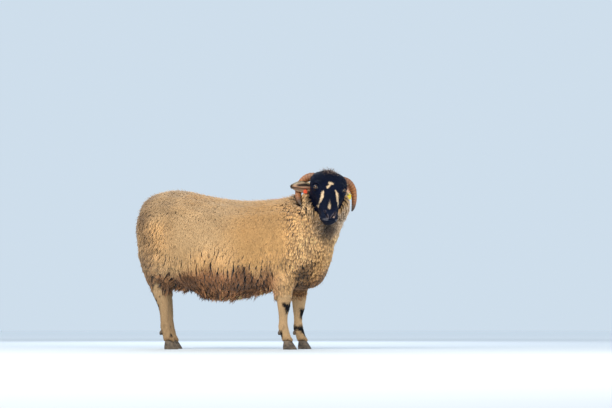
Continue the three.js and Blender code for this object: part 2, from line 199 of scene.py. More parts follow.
def merged_copy(names, swell=0.0):
    """The CAD nodes' meshes as one bmesh, with corners merged and pushed out by the swell, in metres."""
    together = bmesh.new()
    for name in names:
        part = bmesh.new()
        part.from_mesh(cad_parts[name].data)
        bmesh.ops.remove_doubles(part, verts=part.verts, dist=0.02 * MM)
        bmesh.ops.recalc_face_normals(part, faces=part.faces)
        part.normal_update()
        for vert in part.verts:
            vert.co += vert.normal * swell
        loose = mesh_of(part, name + "_copy")
        together.from_mesh(loose)
        bpy.data.meshes.remove(loose)
    return together


def read(items, field, width=3, kind=float):
    """One field of all of a mesh's items, as rows of numbers."""
    values = np.empty(len(items) * width, dtype=kind)
    items.foreach_get(field, values)
    return values.reshape(-1, width) if width > 1 else values


def corners(mesh):
    return read(mesh.vertices, "co")


def normals(mesh):
    return read(mesh.vertex_normals, "vector")


def move_corners(mesh, places):
    mesh.vertices.foreach_set("co", np.ascontiguousarray(places, dtype=np.float64).ravel())
    mesh.update()


def neighbour_mean(mesh):
    """A function that gives the mean of each corner's neighbours, for smoothing."""
    ends = read(mesh.edges, "vertices", 2, np.int64)
    start, stop = np.concatenate([ends, ends[:, ::-1]]).T
    size = len(mesh.vertices)
    count = np.maximum(np.bincount(start, minlength=size), 1)

    def mean(values):
        return np.stack([np.bincount(start, column[stop], size) / count for column in values.T], 1)

    return mean


def evened(places, mean, rounds, draw_in, swell_out, weight=1.0):
    """Places evened out among their neighbours and swelled back each time, so that the form isn't drawn in."""
    weight = np.reshape(weight, (-1, 1))
    for _ in range(rounds):
        for share in (draw_in, -swell_out):
            places = places + share * weight * (mean(places) - places)
    return places


def tree_on(mesh):
    return BVHTree.FromPolygons(corners(mesh).tolist(), [list(p.vertices) for p in mesh.polygons])


def tree_of(names):
    copy = merged_copy(names)
    tree = BVHTree.FromBMesh(copy)
    copy.free()
    return tree


def near(tree, points):
    """Distance in millimetres from each point to the nearest surface of the tree."""
    return np.array([tree.find_nearest(p)[3] for p in points]) / MM


LEGS = {end: [f"leg_{end}_left", f"leg_{end}_right"] for end in ("fore", "hind")}
FLESH = ["trunk", "neck", "tail", "head", *LEGS["fore"], *LEGS["hind"]]
HEAD = ["head", "eye_left", "eye_right"]
VOXEL = 6.9 * MM
SWELL = 0.7 * MM  # closes the gaps between the nodes

rough = mesh_of(merged_copy(FLESH + HEAD[1:], SWELL), "rough")
rough_piece = bpy.data.objects.new("rough", rough)
bpy.context.scene.collection.objects.link(rough_piece)
remesh = rough_piece.modifiers.new("voxels", "REMESH")
remesh.mode, remesh.voxel_size, remesh.adaptivity = "VOXEL", VOXEL, 0
outline = bpy.data.meshes.new_from_object(rough_piece.evaluated_get(bpy.context.evaluated_depsgraph_get()))
bpy.data.objects.remove(rough_piece)

# Only the outer skin stays: whatever closed pockets the remesh left inside go.
shell = bmesh.new()
shell.from_mesh(outline)
shell.verts.ensure_lookup_table()
unseen, largest = set(shell.verts), []
while unseen:
    island, edge = [], [unseen.pop()]
    while edge:
        vert = edge.pop()
        island.append(vert)
        for link in vert.link_edges:
            other = link.other_vert(vert)
            if other in unseen:
                unseen.remove(other)
                edge.append(other)
    largest = max(largest, island, key=len)
kept = set(largest)
bmesh.ops.delete(shell, geom=[v for v in shell.verts if v not in kept], context="VERTS")
shell.to_mesh(outline)
shell.free()

# The short hair of the face and feet lies almost flat; the fleece is a few centimetres deep.
FLEECE_DEPTH = 34.0
TAIL_DEPTH = 13.0
HAIR_DEPTH = 2.2
WOOL_UP = {  # heights up a leg, and the depth of the wool there
    "fore": ([220, 238, 268, 306, 345], [HAIR_DEPTH, 4, 14, 26, FLEECE_DEPTH]),
    "hind": ([240, 262, 292, 330, 390], [HAIR_DEPTH, 5, 14, 24, FLEECE_DEPTH]),
}
TOUCH = 2  # a place this near to a node belongs to it

places = corners(outline)
outline_tree = tree_on(outline)
head_tree = tree_of(HEAD)
leg_trees = {end: tree_of(names) for end, names in LEGS.items()}
from_head = near(head_tree, places)
height = places[:, 2] / MM
depth = np.full(len(places), FLEECE_DEPTH)
low_leg = np.zeros(len(places), dtype=bool)
for end, (heights, depths) in WOOL_UP.items():
    of_leg = near(leg_trees[end], places) < TOUCH
    depth = np.where(of_leg, np.interp(height, heights, depths), depth)
    low_leg |= of_leg & (height < heights[0])
depth = np.where(near(tree_of(["tail"]), places) < TOUCH, TAIL_DEPTH, depth)
mean = neighbour_mean(outline)
for _ in range(14):
    depth = 0.5 * depth + 0.5 * mean(depth[:, None])[:, 0]
depth = np.where(low_leg, HAIR_DEPTH, depth)
depth = HAIR_DEPTH + (depth - HAIR_DEPTH) * ease(1, 55, from_head)
depth_at_face = depth[[p.vertices[0] for p in outline.polygons]]  # depth of the coat under each face

places = evened(places, mean, 7, 0.55, 0.57)  # evens out the voxels and the facets
move_corners(outline, places)

STEPS = 14
skin_mesh = outline.copy()
loosen = 0.5 * ease(4, 14, depth)[:, None]
for _ in range(STEPS):
    places -= normals(skin_mesh) * (depth / STEPS)[:, None] * MM
    for _ in range(2):
        places += loosen * (mean(places) - places)
    move_corners(skin_mesh, places)

# Finer faces on the head, and finer still round the eyes, the nostrils and the lips.
EYE = np.array([94, 53, -3])
EYE_RADIUS = 14.5
LIPS = [(243, 0, -49), (240, 13, -50), (232, 27, -54), (217, 38, -61), (196, 42, -69), (176, 44, -76)]
NOSTRIL = [(234, 9, -44), (232, 13, -37), (226, 19, -31), (216, 22, -28)]
CLEFT = [(244, 0, -47), (240, 0, -40), (233, 0, -34)]


def smooth_route(points, count):
    """Even steps along a smooth curve through the points."""
    points = np.array(points, float)
    ends = np.vstack([2 * points[0] - points[1], points, 2 * points[-1] - points[-2]])
    dense = []
    for p0, p1, p2, p3 in zip(ends, ends[1:], ends[2:], ends[3:]):
        t = np.linspace(0, 1, 24, endpoint=False)[:, None]
        bend = (2 * p0 - 5 * p1 + 4 * p2 - p3) * t**2
        dense.append(0.5 * (2 * p1 + (p2 - p0) * t + bend + (3 * p1 - p0 - 3 * p2 + p3) * t**3))
    dense = np.vstack([*dense, points[-1:]])
    length = np.concatenate([[0], np.cumsum(np.linalg.norm(np.diff(dense, axis=0), axis=1))])
    steps = np.linspace(0, length[-1], count)
    return np.stack([np.interp(steps, length, dense[:, k]) for k in range(3)], 1)


def laid_on(line, mesh):
    """A bent line drawn smooth and laid on the surface of the mesh, in the frame of the face."""
    tree = tree_on(mesh)
    return to_face([tree.find_nearest(p)[0] for p in from_face(smooth_route(line, 24))])


def along_line(points, line):
    """Distance of each point to a bent line, and how far along the line the nearest place is, from 0 to 1."""
    line = np.array(line, float)
    best = np.full(len(points), 1e9)
    share = np.zeros(len(points))
    for number, (start, stop) in enumerate(zip(line, line[1:])):
        way = stop - start
        t = np.clip(((points - start) @ way) / (way @ way), 0, 1)
        gap = np.linalg.norm(points - start - t[:, None] * way, axis=1)
        share = np.where(gap < best, (number + t) / (len(line) - 1), share)
        best = np.minimum(best, gap)
    return best, share


def reach_of(points, centre, size=(1, 1, 1)):
    """How far each point is from a centre, in reaches of its size."""
    return np.linalg.norm((points - np.array(centre)) / size[:len(centre)], axis=1)


def mirrored(points):
    """The same places on the face's left side."""
    return np.where([False, True, False], np.abs(points), points)


def cut_finer(made, chosen, cuts):
    """Cuts the edges between the chosen corners of a bmesh."""
    chosen = set(np.flatnonzero(chosen).tolist())
    between = [e for e in made.edges if e.verts[0].index in chosen and e.verts[1].index in chosen]
    bmesh.ops.subdivide_edges(made, edges=between, cuts=cuts, use_grid_fill=True)
    made.verts.index_update()


NOSTRIL, LIPS = laid_on(NOSTRIL, skin_mesh), laid_on(LIPS, skin_mesh)
fine = bmesh.new()
fine.from_mesh(skin_mesh)
cut_finer(fine, from_head < 1.6, 3)
face = mirrored(to_face([v.co for v in fine.verts]))
near_marks = (along_line(face, NOSTRIL)[0] < 9) | (along_line(face, LIPS)[0] < 5)
cut_finer(fine, (reach_of(face, EYE) < 27) | near_marks, 1)
skin_mesh = mesh_of(fine, "skin")

# The fine faces are evened out, then the features are raised and sunk along the skin's own direction.
mean = neighbour_mean(skin_mesh)
places = corners(skin_mesh)
on_head = ease(24, 14, near(head_tree, places)) * ease(-45, -25, to_face(places)[:, 0])
places = evened(places, mean, 14, 0.6, 0.62, on_head)
move_corners(skin_mesh, places)
NOSTRIL, LIPS, CLEFT = [laid_on(line, skin_mesh) for line in (NOSTRIL, LIPS, CLEFT)]

FEATURES = [  # centre on the left side, reach along x, y and z, height in millimetres
    ((122, 28, 6), (26, 9, 14), 1.8),  # ridge from the brow down beside the nose
    ((126, 42, -20), (16, 10, 14), -3.2),  # hollow in front of the eye
    ((88, 46, 17), (19, 13, 8), 3.0),  # brow
    ((98, 62, -27), (22, 12, 9), 2.4),  # cheekbone below the eye
    ((58, 64, -78), (32, 16, 30), 3.6),  # cheek muscle
    ((130, 46, -66), (24, 12, 20), -2.4),  # hollow behind the corner of the mouth
    ((160, 0, -4), (46, 13, 12), 2.4),  # arched bridge of the nose
    ((197, 30, -36), (17, 10, 12), -2.2),  # hollow behind the nostril
    ((225, 23, -28), (11, 7, 7), 2.6),  # wing of the nostril
    ((230, 24, -44), (12, 12, 8), 2.4),  # upper lip
    ((222, 18, -72), (14, 18, 9), 2.4),  # lower lip
    ((210, 0, -92), (18, 16, 8), 2.4),  # chin
    ((186, 26, -90), (18, 10, 10), -2.0),  # behind the chin
    ((216, 30, -83), (24, 13, 17), -8.0),  # the chin is narrower than the lip
    ((214, 42, -56), (34, 12, 24), -2.6),  # side of the muzzle
    ((30, 22, 24), (20, 16, 10), 2.0),  # bosses of the forehead
    ((66, 0, 22), (26, 10, 10), -1.6),  # dip between them
]


def bump(value, middle, reach):
    """1 at the middle, fading to nothing on both sides."""
    return np.exp(-(((value - middle) / reach) ** 2))


def sculpt(points):
    """How far each place of the face rises, in millimetres."""
    rise = np.zeros(len(points))
    for centre, reach, amount in FEATURES:
        rise += amount * np.exp(-(((points - centre) / reach) ** 2).sum(1))
    gap, share = along_line(points, NOSTRIL)
    rise += 1.3 * bump(gap, 5.5, 2.4) - 7.5 * bump(gap, 0, 1.6 + 1.6 * share)
    gap, share = along_line(points, LIPS)
    rise += 0.9 * bump(gap, 4.5, 2.6) - 3.2 * bump(gap, 0, 1.5) * (1 - 0.5 * share)
    rise -= 2.4 * bump(along_line(points, CLEFT)[0], 0, 2.0)
    return rise


places += normals(skin_mesh) * (sculpt(mirrored(to_face(places))) * on_head)[:, None] * MM
move_corners(skin_mesh, places)


def eye_axes(sign, dip=0.0):
    """Towards the nose, towards the brow and straight out of the eye; the first dips by an angle."""
    out = np.array([0.38, sign * 0.72, 0.58])
    out /= np.linalg.norm(out)
    up = from_level(0, 0, 1)
    up -= out * (up @ out)
    up /= np.linalg.norm(up)
    level = np.cross(out, up) * sign
    level *= np.sign(level[0])
    return level * math.cos(dip) - up * math.sin(dip), up * math.cos(dip) + level * math.sin(dip), out


# Lids: the skin dips behind the ball inside an almond, lies on it round the rim, and folds once beyond.
SLIT_DIP = math.radians(20)
ALMOND_HALF, UPPER_LID, LOWER_LID = 13.6, 8.2, 6.6
face = to_face(places)
settled = np.zeros(len(face))
for sign in (1, -1):
    slit, brow, out = eye_axes(sign, SLIT_DIP)
    rel = face - EYE * [1, sign, 1]
    u, w, n = rel @ slit, rel @ brow, rel @ out
    close = (n > -26) & (np.linalg.norm(rel, axis=1) < 40)
    half_height = np.where(w > 0, UPPER_LID, LOWER_LID) * (1 - 0.14 * np.clip(u / 14, -1, 1))
    almond = np.sqrt(np.abs(u / ALMOND_HALF) ** 1.7 + np.abs(w / half_height) ** 2.0)
    ball = EYE_RADIUS**2 - (u * u + w * w)
    on_ball = np.where(ball > 20, np.sqrt(np.maximum(ball, 20)), np.maximum(4.47 - (20 - ball) / 9, -1))
    lid = on_ball + 1.4 + 1.0 * bump(almond, 1.3, 0.2)
    fold = -1.6 * bump(almond, 1.75, 0.13) * ease(-5, 4, w) + 1.1 * bump(almond, 2.1, 0.25)
    shaped = lid + (n - lid) * ease(1.35, 2.5, almond) + fold
    target = np.where(almond < 1.0, on_ball - 3.5 * ease(1.0, 0.86, almond), shaped)
    face += np.where(close, target - n, 0)[:, None] * out
    settled = np.maximum(settled, close * ease(1.12, 1.3, almond) * ease(3.2, 2.4, almond))
# Even out what the lids stretched.
move_corners(skin_mesh, evened(from_face(face), mean, 4, 0.5, 0.52, settled))


def wander(points, size, seed):
    """A smooth random value from -1 to 1 that changes over about `size` metres."""
    draws = np.random.default_rng(seed)
    total = np.zeros(len(points))
    for _ in range(7):
        way = draws.normal(size=3)
        way *= draws.uniform(0.6, 1.7) / np.linalg.norm(way) * 2.2 / size
        total += np.sin(points @ way + draws.uniform(0, 6.28) + 0.9 * np.sin(points @ way[[1, 2, 0]] * 0.7))
    return np.clip(total / 3.2, -1, 1)


def tone(hex_colour):
    return np.array(linear(hex_colour)[:3])


def layered(colour, *layers):
    """A colour under layers of others; each is a colour and how much it covers of each place."""
    for over, share in layers:
        over = tone(over) if isinstance(over, str) else over
        colour = colour + (over - colour) * np.asarray(share)[:, None]
    return colour


def store(mesh, name, values, field="color"):
    """Keeps a colour, or a vector, at each corner of a mesh, for its material to read."""
    if field == "color":
        values = np.concatenate([values, np.ones((*values.shape[:-1], 1))], -1)
    mesh.attributes.new(name, "FLOAT_" + field.upper(), "POINT").data.foreach_set(field, values.ravel())


def smooth_shaded(mesh):
    mesh.polygons.foreach_set("use_smooth", [True] * len(mesh.polygons))


def grained(material, attribute, grain, dark, share=0.7, low=0.35, high=0.62):
    """The colour that is kept on the mesh, darkened where the grain is low."""
    dyed = add(material, "Attribute", {}, attribute_name=attribute)
    ramp = add(material, "ValToRGB", {"Fac": grain.outputs["Fac"]}, [(low, dark), (high, "#ffffff")])
    colours = {"Factor": share, "A": dyed.outputs["Color"], "B": ramp.outputs["Color"]}
    return add(material, "Mix", colours, data_type="RGBA", blend_type="MULTIPLY").outputs["Result"]


# BLACK is navy, not pure black: its blue is a painted reflection of the sky on the black hair.
BLACK, CREAM = tone("#060a20"), tone("#e0c8a6")
LEG_CREAM, LEG_BLACK = tone("#cbaa80"), tone("#15110e")
# Marks of the face as it is seen from straight ahead: across to the animal's left and down from the poll,
# and the half width at even steps along each.
BLAZE = ([(9, 38), (2, 38.5), (-2, 46), (-11, 57)], [3.5, 5, 5, 5.6])
BLAZE_CORNER = ([(-8, 37), (3, 37)], [2, 3])
SNIP = ([(-2, 112), (-2, 126), (-3, 138), (-4, 146)], [1, 3, 5, 6])
STRIPES = [  # down the cheeks from beside the eyes
    ([(-27, 76), (-31, 88), (-34, 102), (-37, 117), (-43, 138), (-44, 150)], [2, 5.8, 5.4, 2.6, 0.9, 0.3]),
    ([(23, 69), (28, 80), (31, 94), (32, 108), (34, 126), (36, 138)], [2.2, 4.8, 4.8, 3.2, 1.6, 0.6]),
]


def face_on(points):
    """Across and down, in millimetres, as the face is seen from straight ahead."""
    face = to_face(points)
    return np.stack([face[:, 1], -(face @ LEVEL)[:, 2]], 1)


def streak(places, line, halves, soft=1.4):
    """How much of a marking along a bent line covers each place."""
    gap, share = along_line(places, line)
    return ease(soft, -soft, gap - np.interp(share, np.linspace(0, 1, len(halves)), halves))


def face_colours(points, edge):
    """Black hair on the face, with its cream marks; the edges of the marks wander by `edge` millimetres."""
    face, front = to_face(points), face_on(points) + edge[:, None]
    side_face, down = mirrored(face), face[:, 0]
    nostril_gap, lip_gap = along_line(side_face, NOSTRIL)[0], along_line(side_face, LIPS)[0]
    poll = ease(26, 4, down) * ease(34, 18, np.abs(face[:, 1] - 2)) * ease(-0.6, 0.5, wander(points, 0.012, 59))
    marks = [streak(front, *mark) for mark in (BLAZE, BLAZE_CORNER, *STRIPES)]
    snip = streak(front, *SNIP, 3.4) * ease(104, 140, front[:, 1]) * ease(151, 146, front[:, 1])
    marks.append(snip * (0.8 + 0.4 * wander(points, 0.005, 57)))
    # Paler mottled rims round the nostrils: the muzzle's mottling, with a painted highlight on their wet edges.
    rim = ease(3.4, 1.0, np.abs(nostril_gap - 5)) * ease(-0.2, 0.4, wander(points, 0.011, 58))
    # Painted highlight: a pale grey line along the lips stands for light on their wet edges.
    lip_highlight = ease(2.6, 0.9, np.abs(lip_gap - 3.4)) * ease(-0.7, 0.2, wander(points, 0.02, 60))
    mottle = ease(0.1, 0.3, wander(points, 0.012, 54)) * ease(34, 16, reach_of(side_face, (30, 64, -34)))
    return layered(
        BLACK * (1 + 0.25 * wander(points, 0.02, 53))[:, None],
        ("#171c2c", 0.55 * ease(205, 232, down)),  # greyer muzzle
        ("#3a2c2e", 0.4 * poll),
        (CREAM, np.clip(np.maximum.reduce(marks), 0, 1) * ease(-85, -60, face[:, 2])),
        # mottled rims round the nostrils, partly a painted highlight
        ("#75696b", 0.45 * (rim * ease(206, 222, down))),
        # painted shade deep in the nostrils
        ("#030308", ease(3.2, 1.8, nostril_gap)),
        # painted highlight along the lips
        ("#8b8990", 0.55 * (lip_highlight * ease(205, 225, down))),
        # A pale lip, then tan by the eye.
        ("#a08a80", 0.85 * ease(1.2, 0.6, reach_of(front, (16, 181), (6, 4))) * ease(215, 225, down)),
        ("#8c6c4a", 0.8 * ease(1.2, 0.5, reach_of(front, (58, 63), (7, 4))) * ease(104, 112, down)),
        ("#c9b08e", 0.85 * mottle),  # flecks before the ears
    )


def leg_colours(points, edge):
    """Cream hair on the legs, darker behind, with black patches at the knees, the hocks and the pasterns."""
    spot = in_body(points)
    x, y, z = (spot + 2.2 * edge[:, None]).T
    fore, near_side = spot[:, 0] > 0, spot[:, 1] < 0
    knee_back = np.interp(z, [148, 160, 192], [207, 196, 181])
    knee = ease(-3, 3, x - knee_back) * ease(146, 152, z) * ease(196, 190, z)
    knee *= 1 - ease(5, 0, np.hypot(x - 190, (z - 174) * 1.4))
    knee *= near_side * fore * ease(-66, -76, y - 0.25 * (x - 200))
    far_knee = ease(226, 232, x) * ease(122, 130, z) * ease(176, 170, z) * fore * ~near_side * ease(96, 88, y)
    rear = np.interp(z, [150, 186, 218, 248, 280], [-21, -31.5, -48, -59, -72])
    rear += np.where(near_side, -317, -343)
    hock = ease(11, 6, x - rear) * ease(158, 168, z) * ease(250, 240, z) * ~fore
    fleck = ease(6.5, 4, np.hypot(x + 334, z - 220)) * near_side * ~fore
    pastern = ease(0.3, 0.5, wander(points, 0.03, 56)) * ease(112, 90, spot[:, 2])
    return layered(
        LEG_CREAM * (np.where(fore, 1, 0.78) + 0.12 * wander(points, 0.05, 55))[:, None],
        (LEG_BLACK, np.clip(np.maximum.reduce([knee, far_knee, hock, fleck, pastern]), 0, 1)),
        ("#8c6b48", 0.5 * ease(60, 34, spot[:, 2])),  # earth on the feet
    )


def hide_colours(points):
    """The colours of the face and the legs, for the hide and for the hair on it."""
    edge = 1.6 * wander(points, 0.009, 51) + 0.8 * wander(points, 0.004, 52)
    of_head = (to_face(points)[:, 0] > -60) & (in_body(points)[:, 2] > 400)
    return np.clip(np.where(of_head[:, None], face_colours(points, edge), leg_colours(points, edge)), 0, 1)


# Hide under short hair: the hair lies so close that it is mostly a fine grain, with a soft shine.
HAIR_GLOSS = {"Roughness": 0.6, "Specular IOR Level": 0.16, "Specular Tint": (0.45, 0.65, 1.0, 1)}
hide_finish, shader = finish("short_haired_hide")
spot = add(hide_finish, "TexCoord", {}).outputs["Object"]
grain_place = add(hide_finish, "Mapping", {"Vector": spot, "Scale": (1, 1, 0.35)}).outputs["Vector"]
grain = add(hide_finish, "TexNoise", {"Vector": grain_place, "Scale": 700.0, "Detail": 3.0, "Roughness": 0.6})
pile = add(hide_finish, "Bump", {"Height": grain.outputs["Fac"], "Strength": 0.45, "Distance": 0.5 * MM})
feed(hide_finish, shader, {
    "Base Color": grained(hide_finish, "hide", grain, "#b3a89e"),
    "Normal": pile.outputs["Normal"],
    **HAIR_GLOSS,
})

FLEECE_LINE = 8  # deeper than this under the outline the hide is pale and lies under the fleece
skin = place("skin", skin_mesh, hide_finish)
smooth_shaded(skin_mesh)
places = corners(skin_mesh)
face = to_face(places)
bare = (face > [-20, -90, -125]).all(1) & (face[:, 1] < 90)
covered = (near(outline_tree, places) > FLEECE_LINE)[:, None] & ~bare[:, None]
store(skin_mesh, "hide", np.where(covered, tone("#a98c66"), hide_colours(places)))
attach(skin, "root")
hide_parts(*FLESH)


# ---- ears ------------------------------------------------------------------------------------------------
# A sheet of gristle rolled into a cup at the root and opened like a leaf: thin, hairy outside, nearly bare
# and pink inside. The right one is held straight out; the left one is laid back inside the curl of the
# horn.

EAR_LENGTH = 92
EAR_WALL = 2.6
# Each ear's root in the frame of the face, then where it points and where its cup opens, level with the
# ground.
EARS = {
    "right": ((33, -63, -40), (-0.16, -1, -0.1), (0.85, 0, -0.35)),
    "left": ((28, 64, -34), (-0.6, 0.68, 0.04), (0.8, 0.6, 0)),
}
EAR_SHARE = [0, 0.14, 0.32, 0.5, 0.68, 0.84, 0.95, 1.0]
EAR_HALF = [10, 18, 22.5, 23, 19, 11.5, 5, 1.2]  # half width of the leaf there
EAR_DEEP = [10, 13, 12.5, 10, 7.5, 5, 3, 1.5]  # depth of the cup there
EAR_ROLL = [2.7, 2.2, 1.75, 1.55, 1.45, 1.4, 1.4, 1.4]  # how far round the sheet reaches, in radians each way
EAR_SUNK = 0.06  # share of the ear that stands inside the head


def tuned(values, share):
    """A smooth curve through values that stand at EAR_SHARE."""
    dense = np.linspace(0, 1, 201)
    line = np.interp(dense, EAR_SHARE, values)
    for _ in range(60):
        line[1:-1] = 0.5 * line[1:-1] + 0.25 * (line[:-2] + line[2:])
    return np.interp(share, dense, line)


def mesh_from(made, name, places):
    """The bmesh's corners at new places, as a smooth mesh that faces outwards."""
    for vert, where in zip(made.verts, places):
        vert.co = where
    bmesh.ops.recalc_face_normals(made, faces=made.faces)
    mesh = mesh_of(made, name)
    smooth_shaded(mesh)
    return mesh


def ear_frame(side):
    """The ear's root, and the ways along it, out of its cup and across it."""
    root, axis, cup = EARS[side]
    along = from_level(*axis)
    along /= np.linalg.norm(along)
    opening = from_level(*cup)
    opening -= along * (opening @ along)
    opening /= np.linalg.norm(opening)
    return np.array(root), along, opening, np.cross(along, opening)


def ear_place(side, share, turn):
    """A place on the middle of the ear's sheet: along it from 0 to 1, and round the cup from -1 to 1."""
    root, along, opening, across = ear_frame(side)
    angle = turn * tuned(EAR_ROLL, share)
    deep = -tuned(EAR_DEEP, share) * np.cos(angle) + 1.5 * np.sin(share * 3.1) - 3 * share**2
    deep += 0.7 * np.sin(share * 21 + turn * 2) * np.abs(turn) ** 3  # the edge waves a little
    reach = np.stack([share * EAR_LENGTH, tuned(EAR_HALF, share) * np.sin(angle), deep], -1)
    return root + reach @ np.stack([along, across, opening])


def ear_colours(side, share, turn, hollow):
    """Pink and nearly bare inside, cream and black outside, with a black rim and tip."""
    where = np.stack([share * 3, turn, np.full(len(share), float(side == "left"))], 1) * 0.02
    mottle = ease(-0.1, 0.15, wander(where, 0.014, 61) + 0.9 * (share - 0.45))
    outer = layered(tone("#dcbf98"), ("#16130f", mottle))
    slot = ease(0.26, 0.12, np.abs(turn - 0.12)) * ease(0.06, 0.16, share) * ease(0.8, 0.62, share)
    spots = ease(0.0, 0.25, wander(where, 0.006, 62)) * ease(0.42, 0.2, share) * ease(-0.1, 0.2, turn)
    inner = layered(
        tone("#f6cba9"),
        ("#c98f72", ease(0.4, 0.1, share)),
        ("#fbeccb", ease(0.3, 0.5, turn) * ease(0.95, 0.8, share)),
        ("#140d0d", 0.95 * (slot * (side == "right"))),  # the deep shade of the cup
        ("#17130f", spots),
    )
    rim = np.maximum(0.8 * ease(0.93, 0.99, np.abs(turn)), ease(0.86, 0.93, share))
    return layered(np.where(hollow[:, None], inner, outer), ("#17120f", 0.9 * rim))


# Thin ear skin: light glows through it a little, and short hair covers the back and the rim.
ear_finish, shader = finish("ear_skin")
spot = add(ear_finish, "TexCoord", {}).outputs["Object"]
grain = add(ear_finish, "TexNoise", {"Vector": spot, "Scale": 480.0, "Detail": 4.0})
pile = add(ear_finish, "Bump", {"Height": grain.outputs["Fac"], "Strength": 0.35, "Distance": 0.4 * MM})
feed(ear_finish, shader, {
    "Base Color": grained(ear_finish, "hide", grain, "#d8cdc6"),
    "Roughness": 0.6,
    "Subsurface Weight": 0.12,
    "Subsurface Radius": (0.004, 0.0015, 0.001),
    "Normal": pile.outputs["Normal"],
})

for side in EARS:
    leaf = bmesh.new()
    bmesh.ops.create_grid(leaf, x_segments=44, y_segments=34, size=0.5)
    grid = np.array([v.co for v in leaf.verts])
    length_share, turn = np.clip(grid[:, 0] + 0.5, 0, 1), grid[:, 1] * 2
    middle = ear_place(side, length_share * (1 + EAR_SUNK) - EAR_SUNK, turn)
    for vert, where in zip(leaf.verts, from_face(middle)):
        vert.co = where
    leaf.normal_update()
    out_way = np.array([v.normal for v in leaf.verts]) @ TURN
    if (out_way @ ear_frame(side)[2]).mean() > 0:
        bmesh.ops.reverse_faces(leaf, faces=leaf.faces)
        out_way = -out_way
    wall = EAR_WALL * (0.45 + 0.55 * (1 - np.abs(turn) ** 4)) * (1 - 0.5 * length_share**3)
    half_wall = out_way * wall[:, None] / 2
    bmesh.ops.solidify(leaf, geom=leaf.faces[:], thickness=EAR_WALL * MM)
    both_faces = from_face(np.vstack([middle + half_wall, middle - half_wall]))
    ear_mesh = mesh_from(leaf, f"ear_{side}_shell", both_faces)
    faces = [ear_colours(side, length_share, turn, np.full(len(turn), hollow)) for hollow in (False, True)]
    store(ear_mesh, "hide", np.vstack(faces))
    ear = place(ear_mesh.name, ear_mesh, ear_finish)
    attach(ear, "root")
    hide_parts(f"ear_{side}")


# ---- eyes ------------------------------------------------------------------------------------------------
# A wet ball in each socket: a clear bulging cornea over an amber-brown iris and the sheep's level slot of a
# pupil.

# Living eye: a clear wet coat over a brown iris; the pupil is a soft-cornered slot.
eye_finish, shader = finish("wet_eye")
gaze_place = add(eye_finish, "Attribute", {}, attribute_name="gaze").outputs["Vector"]
parts = add(eye_finish, "SeparateXYZ", {"Vector": gaze_place})
flat = add(eye_finish, "CombineXYZ", {"X": parts.outputs["X"], "Y": parts.outputs["Y"]})
reach = add(eye_finish, "VectorMath", {0: flat.outputs["Vector"]}, operation="LENGTH")
rays = add(eye_finish, "TexNoise", {"Vector": gaze_place, "Scale": 9.0, "Detail": 4.0})
wobble = add(eye_finish, "Math", {0: rays.outputs["Fac"], 1: 0.12}, operation="MULTIPLY")
ring = add(eye_finish, "Math", {0: reach.outputs["Value"], 1: wobble.outputs["Value"]}, operation="ADD")
IRIS = [
    (0.2, "#2c1b0c"), (0.95, "#120d0a"), (0.45, "#513313"),
    (0.62, "#38230f"), (0.7, "#0d0907"), (0.8, "#1d1511"),
]
iris = add(eye_finish, "ValToRGB", {"Fac": ring.outputs["Value"]}, IRIS)
pupil_scale = add(eye_finish, "VectorMath", {0: gaze_place, 1: (2.3, 5.2, 0)}, operation="MULTIPLY")
pupil_reach = add(eye_finish, "VectorMath", {0: pupil_scale.outputs["Vector"]}, operation="LENGTH")
pupil_edge = [(0.85, "#000000"), (1.0, "#ffffff")]
pupil = add(eye_finish, "ValToRGB", {"Fac": pupil_reach.outputs["Value"]}, pupil_edge)
colours = {"Factor": 1.0, "A": iris.outputs["Color"], "B": pupil.outputs["Color"]}
seen = add(eye_finish, "Mix", colours, data_type="RGBA", blend_type="MULTIPLY")
feed(eye_finish, shader, {
    "Base Color": seen.outputs["Result"],
    "Roughness": 0.12,
    "IOR": 1.376,
    "Specular IOR Level": 0.2,
    "Coat Weight": 0.7,
    "Coat Roughness": 0.03,
})

SIDES = {"left": 1, "right": -1}
CORNEA_RISE = 0.9
for side, sign in SIDES.items():
    ball = bmesh.new()
    bmesh.ops.create_uvsphere(ball, u_segments=40, v_segments=28, radius=1)
    eye_mesh = mesh_of(ball, f"eyeball_{side}")
    gaze = corners(eye_mesh)
    bulge = EYE_RADIUS + CORNEA_RISE * ease(0.72, 0.95, gaze[:, 2])
    move_corners(eye_mesh, from_face(EYE * [1, sign, 1] + bulge[:, None] * (gaze @ np.stack(eye_axes(sign)))))
    store(eye_mesh, "gaze", gaze, "vector")
    if side == "left":
        eye_mesh.flip_normals()
    smooth_shaded(eye_mesh)
    eyeball = place(eye_mesh.name, eye_mesh, eye_finish)
    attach(eyeball, "root")
    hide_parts(f"eye_{side}")


# ---- horns -----------------------------------------------------------------------------------------------
# Hollow sheaths of keratin over bone cores. They leave the poll sideways, curl back and down behind the
# ears and come forward beside the jaw; each year's growth leaves a groove, and the worn tip is smooth and
# dark.

HORN_RADIUS = 17
HORN_SPREAD = {"left": 122, "right": 114}
HORN_SWELL = {"left": 0, "right": 0.35}  # how much thicker the lower half is
HORN_ROUTE = [  # ahead, share of the spread, up; level with the ground, from the poll
    (-6, 0.3, -14), (-11, 0.46, -9), (-20, 0.64, -10), (-30, 0.8, -20), (-37, 0.92, -38),
    (-40, 0.98, -60), (-35, 1, -85), (-20, 0.98, -108), (0, 0.94, -124), (17, 0.89, -136),
]
HORN_RINGS = 130
GROOVES, WRINKLES = 17, 47
HORN_COLOURS = [  # from the root to the tip; the two ends stand first
    (0.0, "#6e5138"), (1.0, "#2b2521"), (0.12, "#85604a"),
    (0.4, "#b0733f"), (0.7, "#a56c40"), (0.86, "#65503f"),
]


def carried_frames(route, first):
    """Directions across and along a route, carried along it without twist."""
    ways = np.gradient(route, axis=0)
    ways /= np.linalg.norm(ways, axis=1, keepdims=True)
    side = np.array(first, float)
    sides = []
    for way in ways:
        side = side - way * (side @ way)
        side = side / np.linalg.norm(side)
        sides.append(side)
    sides = np.array(sides)
    return sides, np.cross(ways, sides)


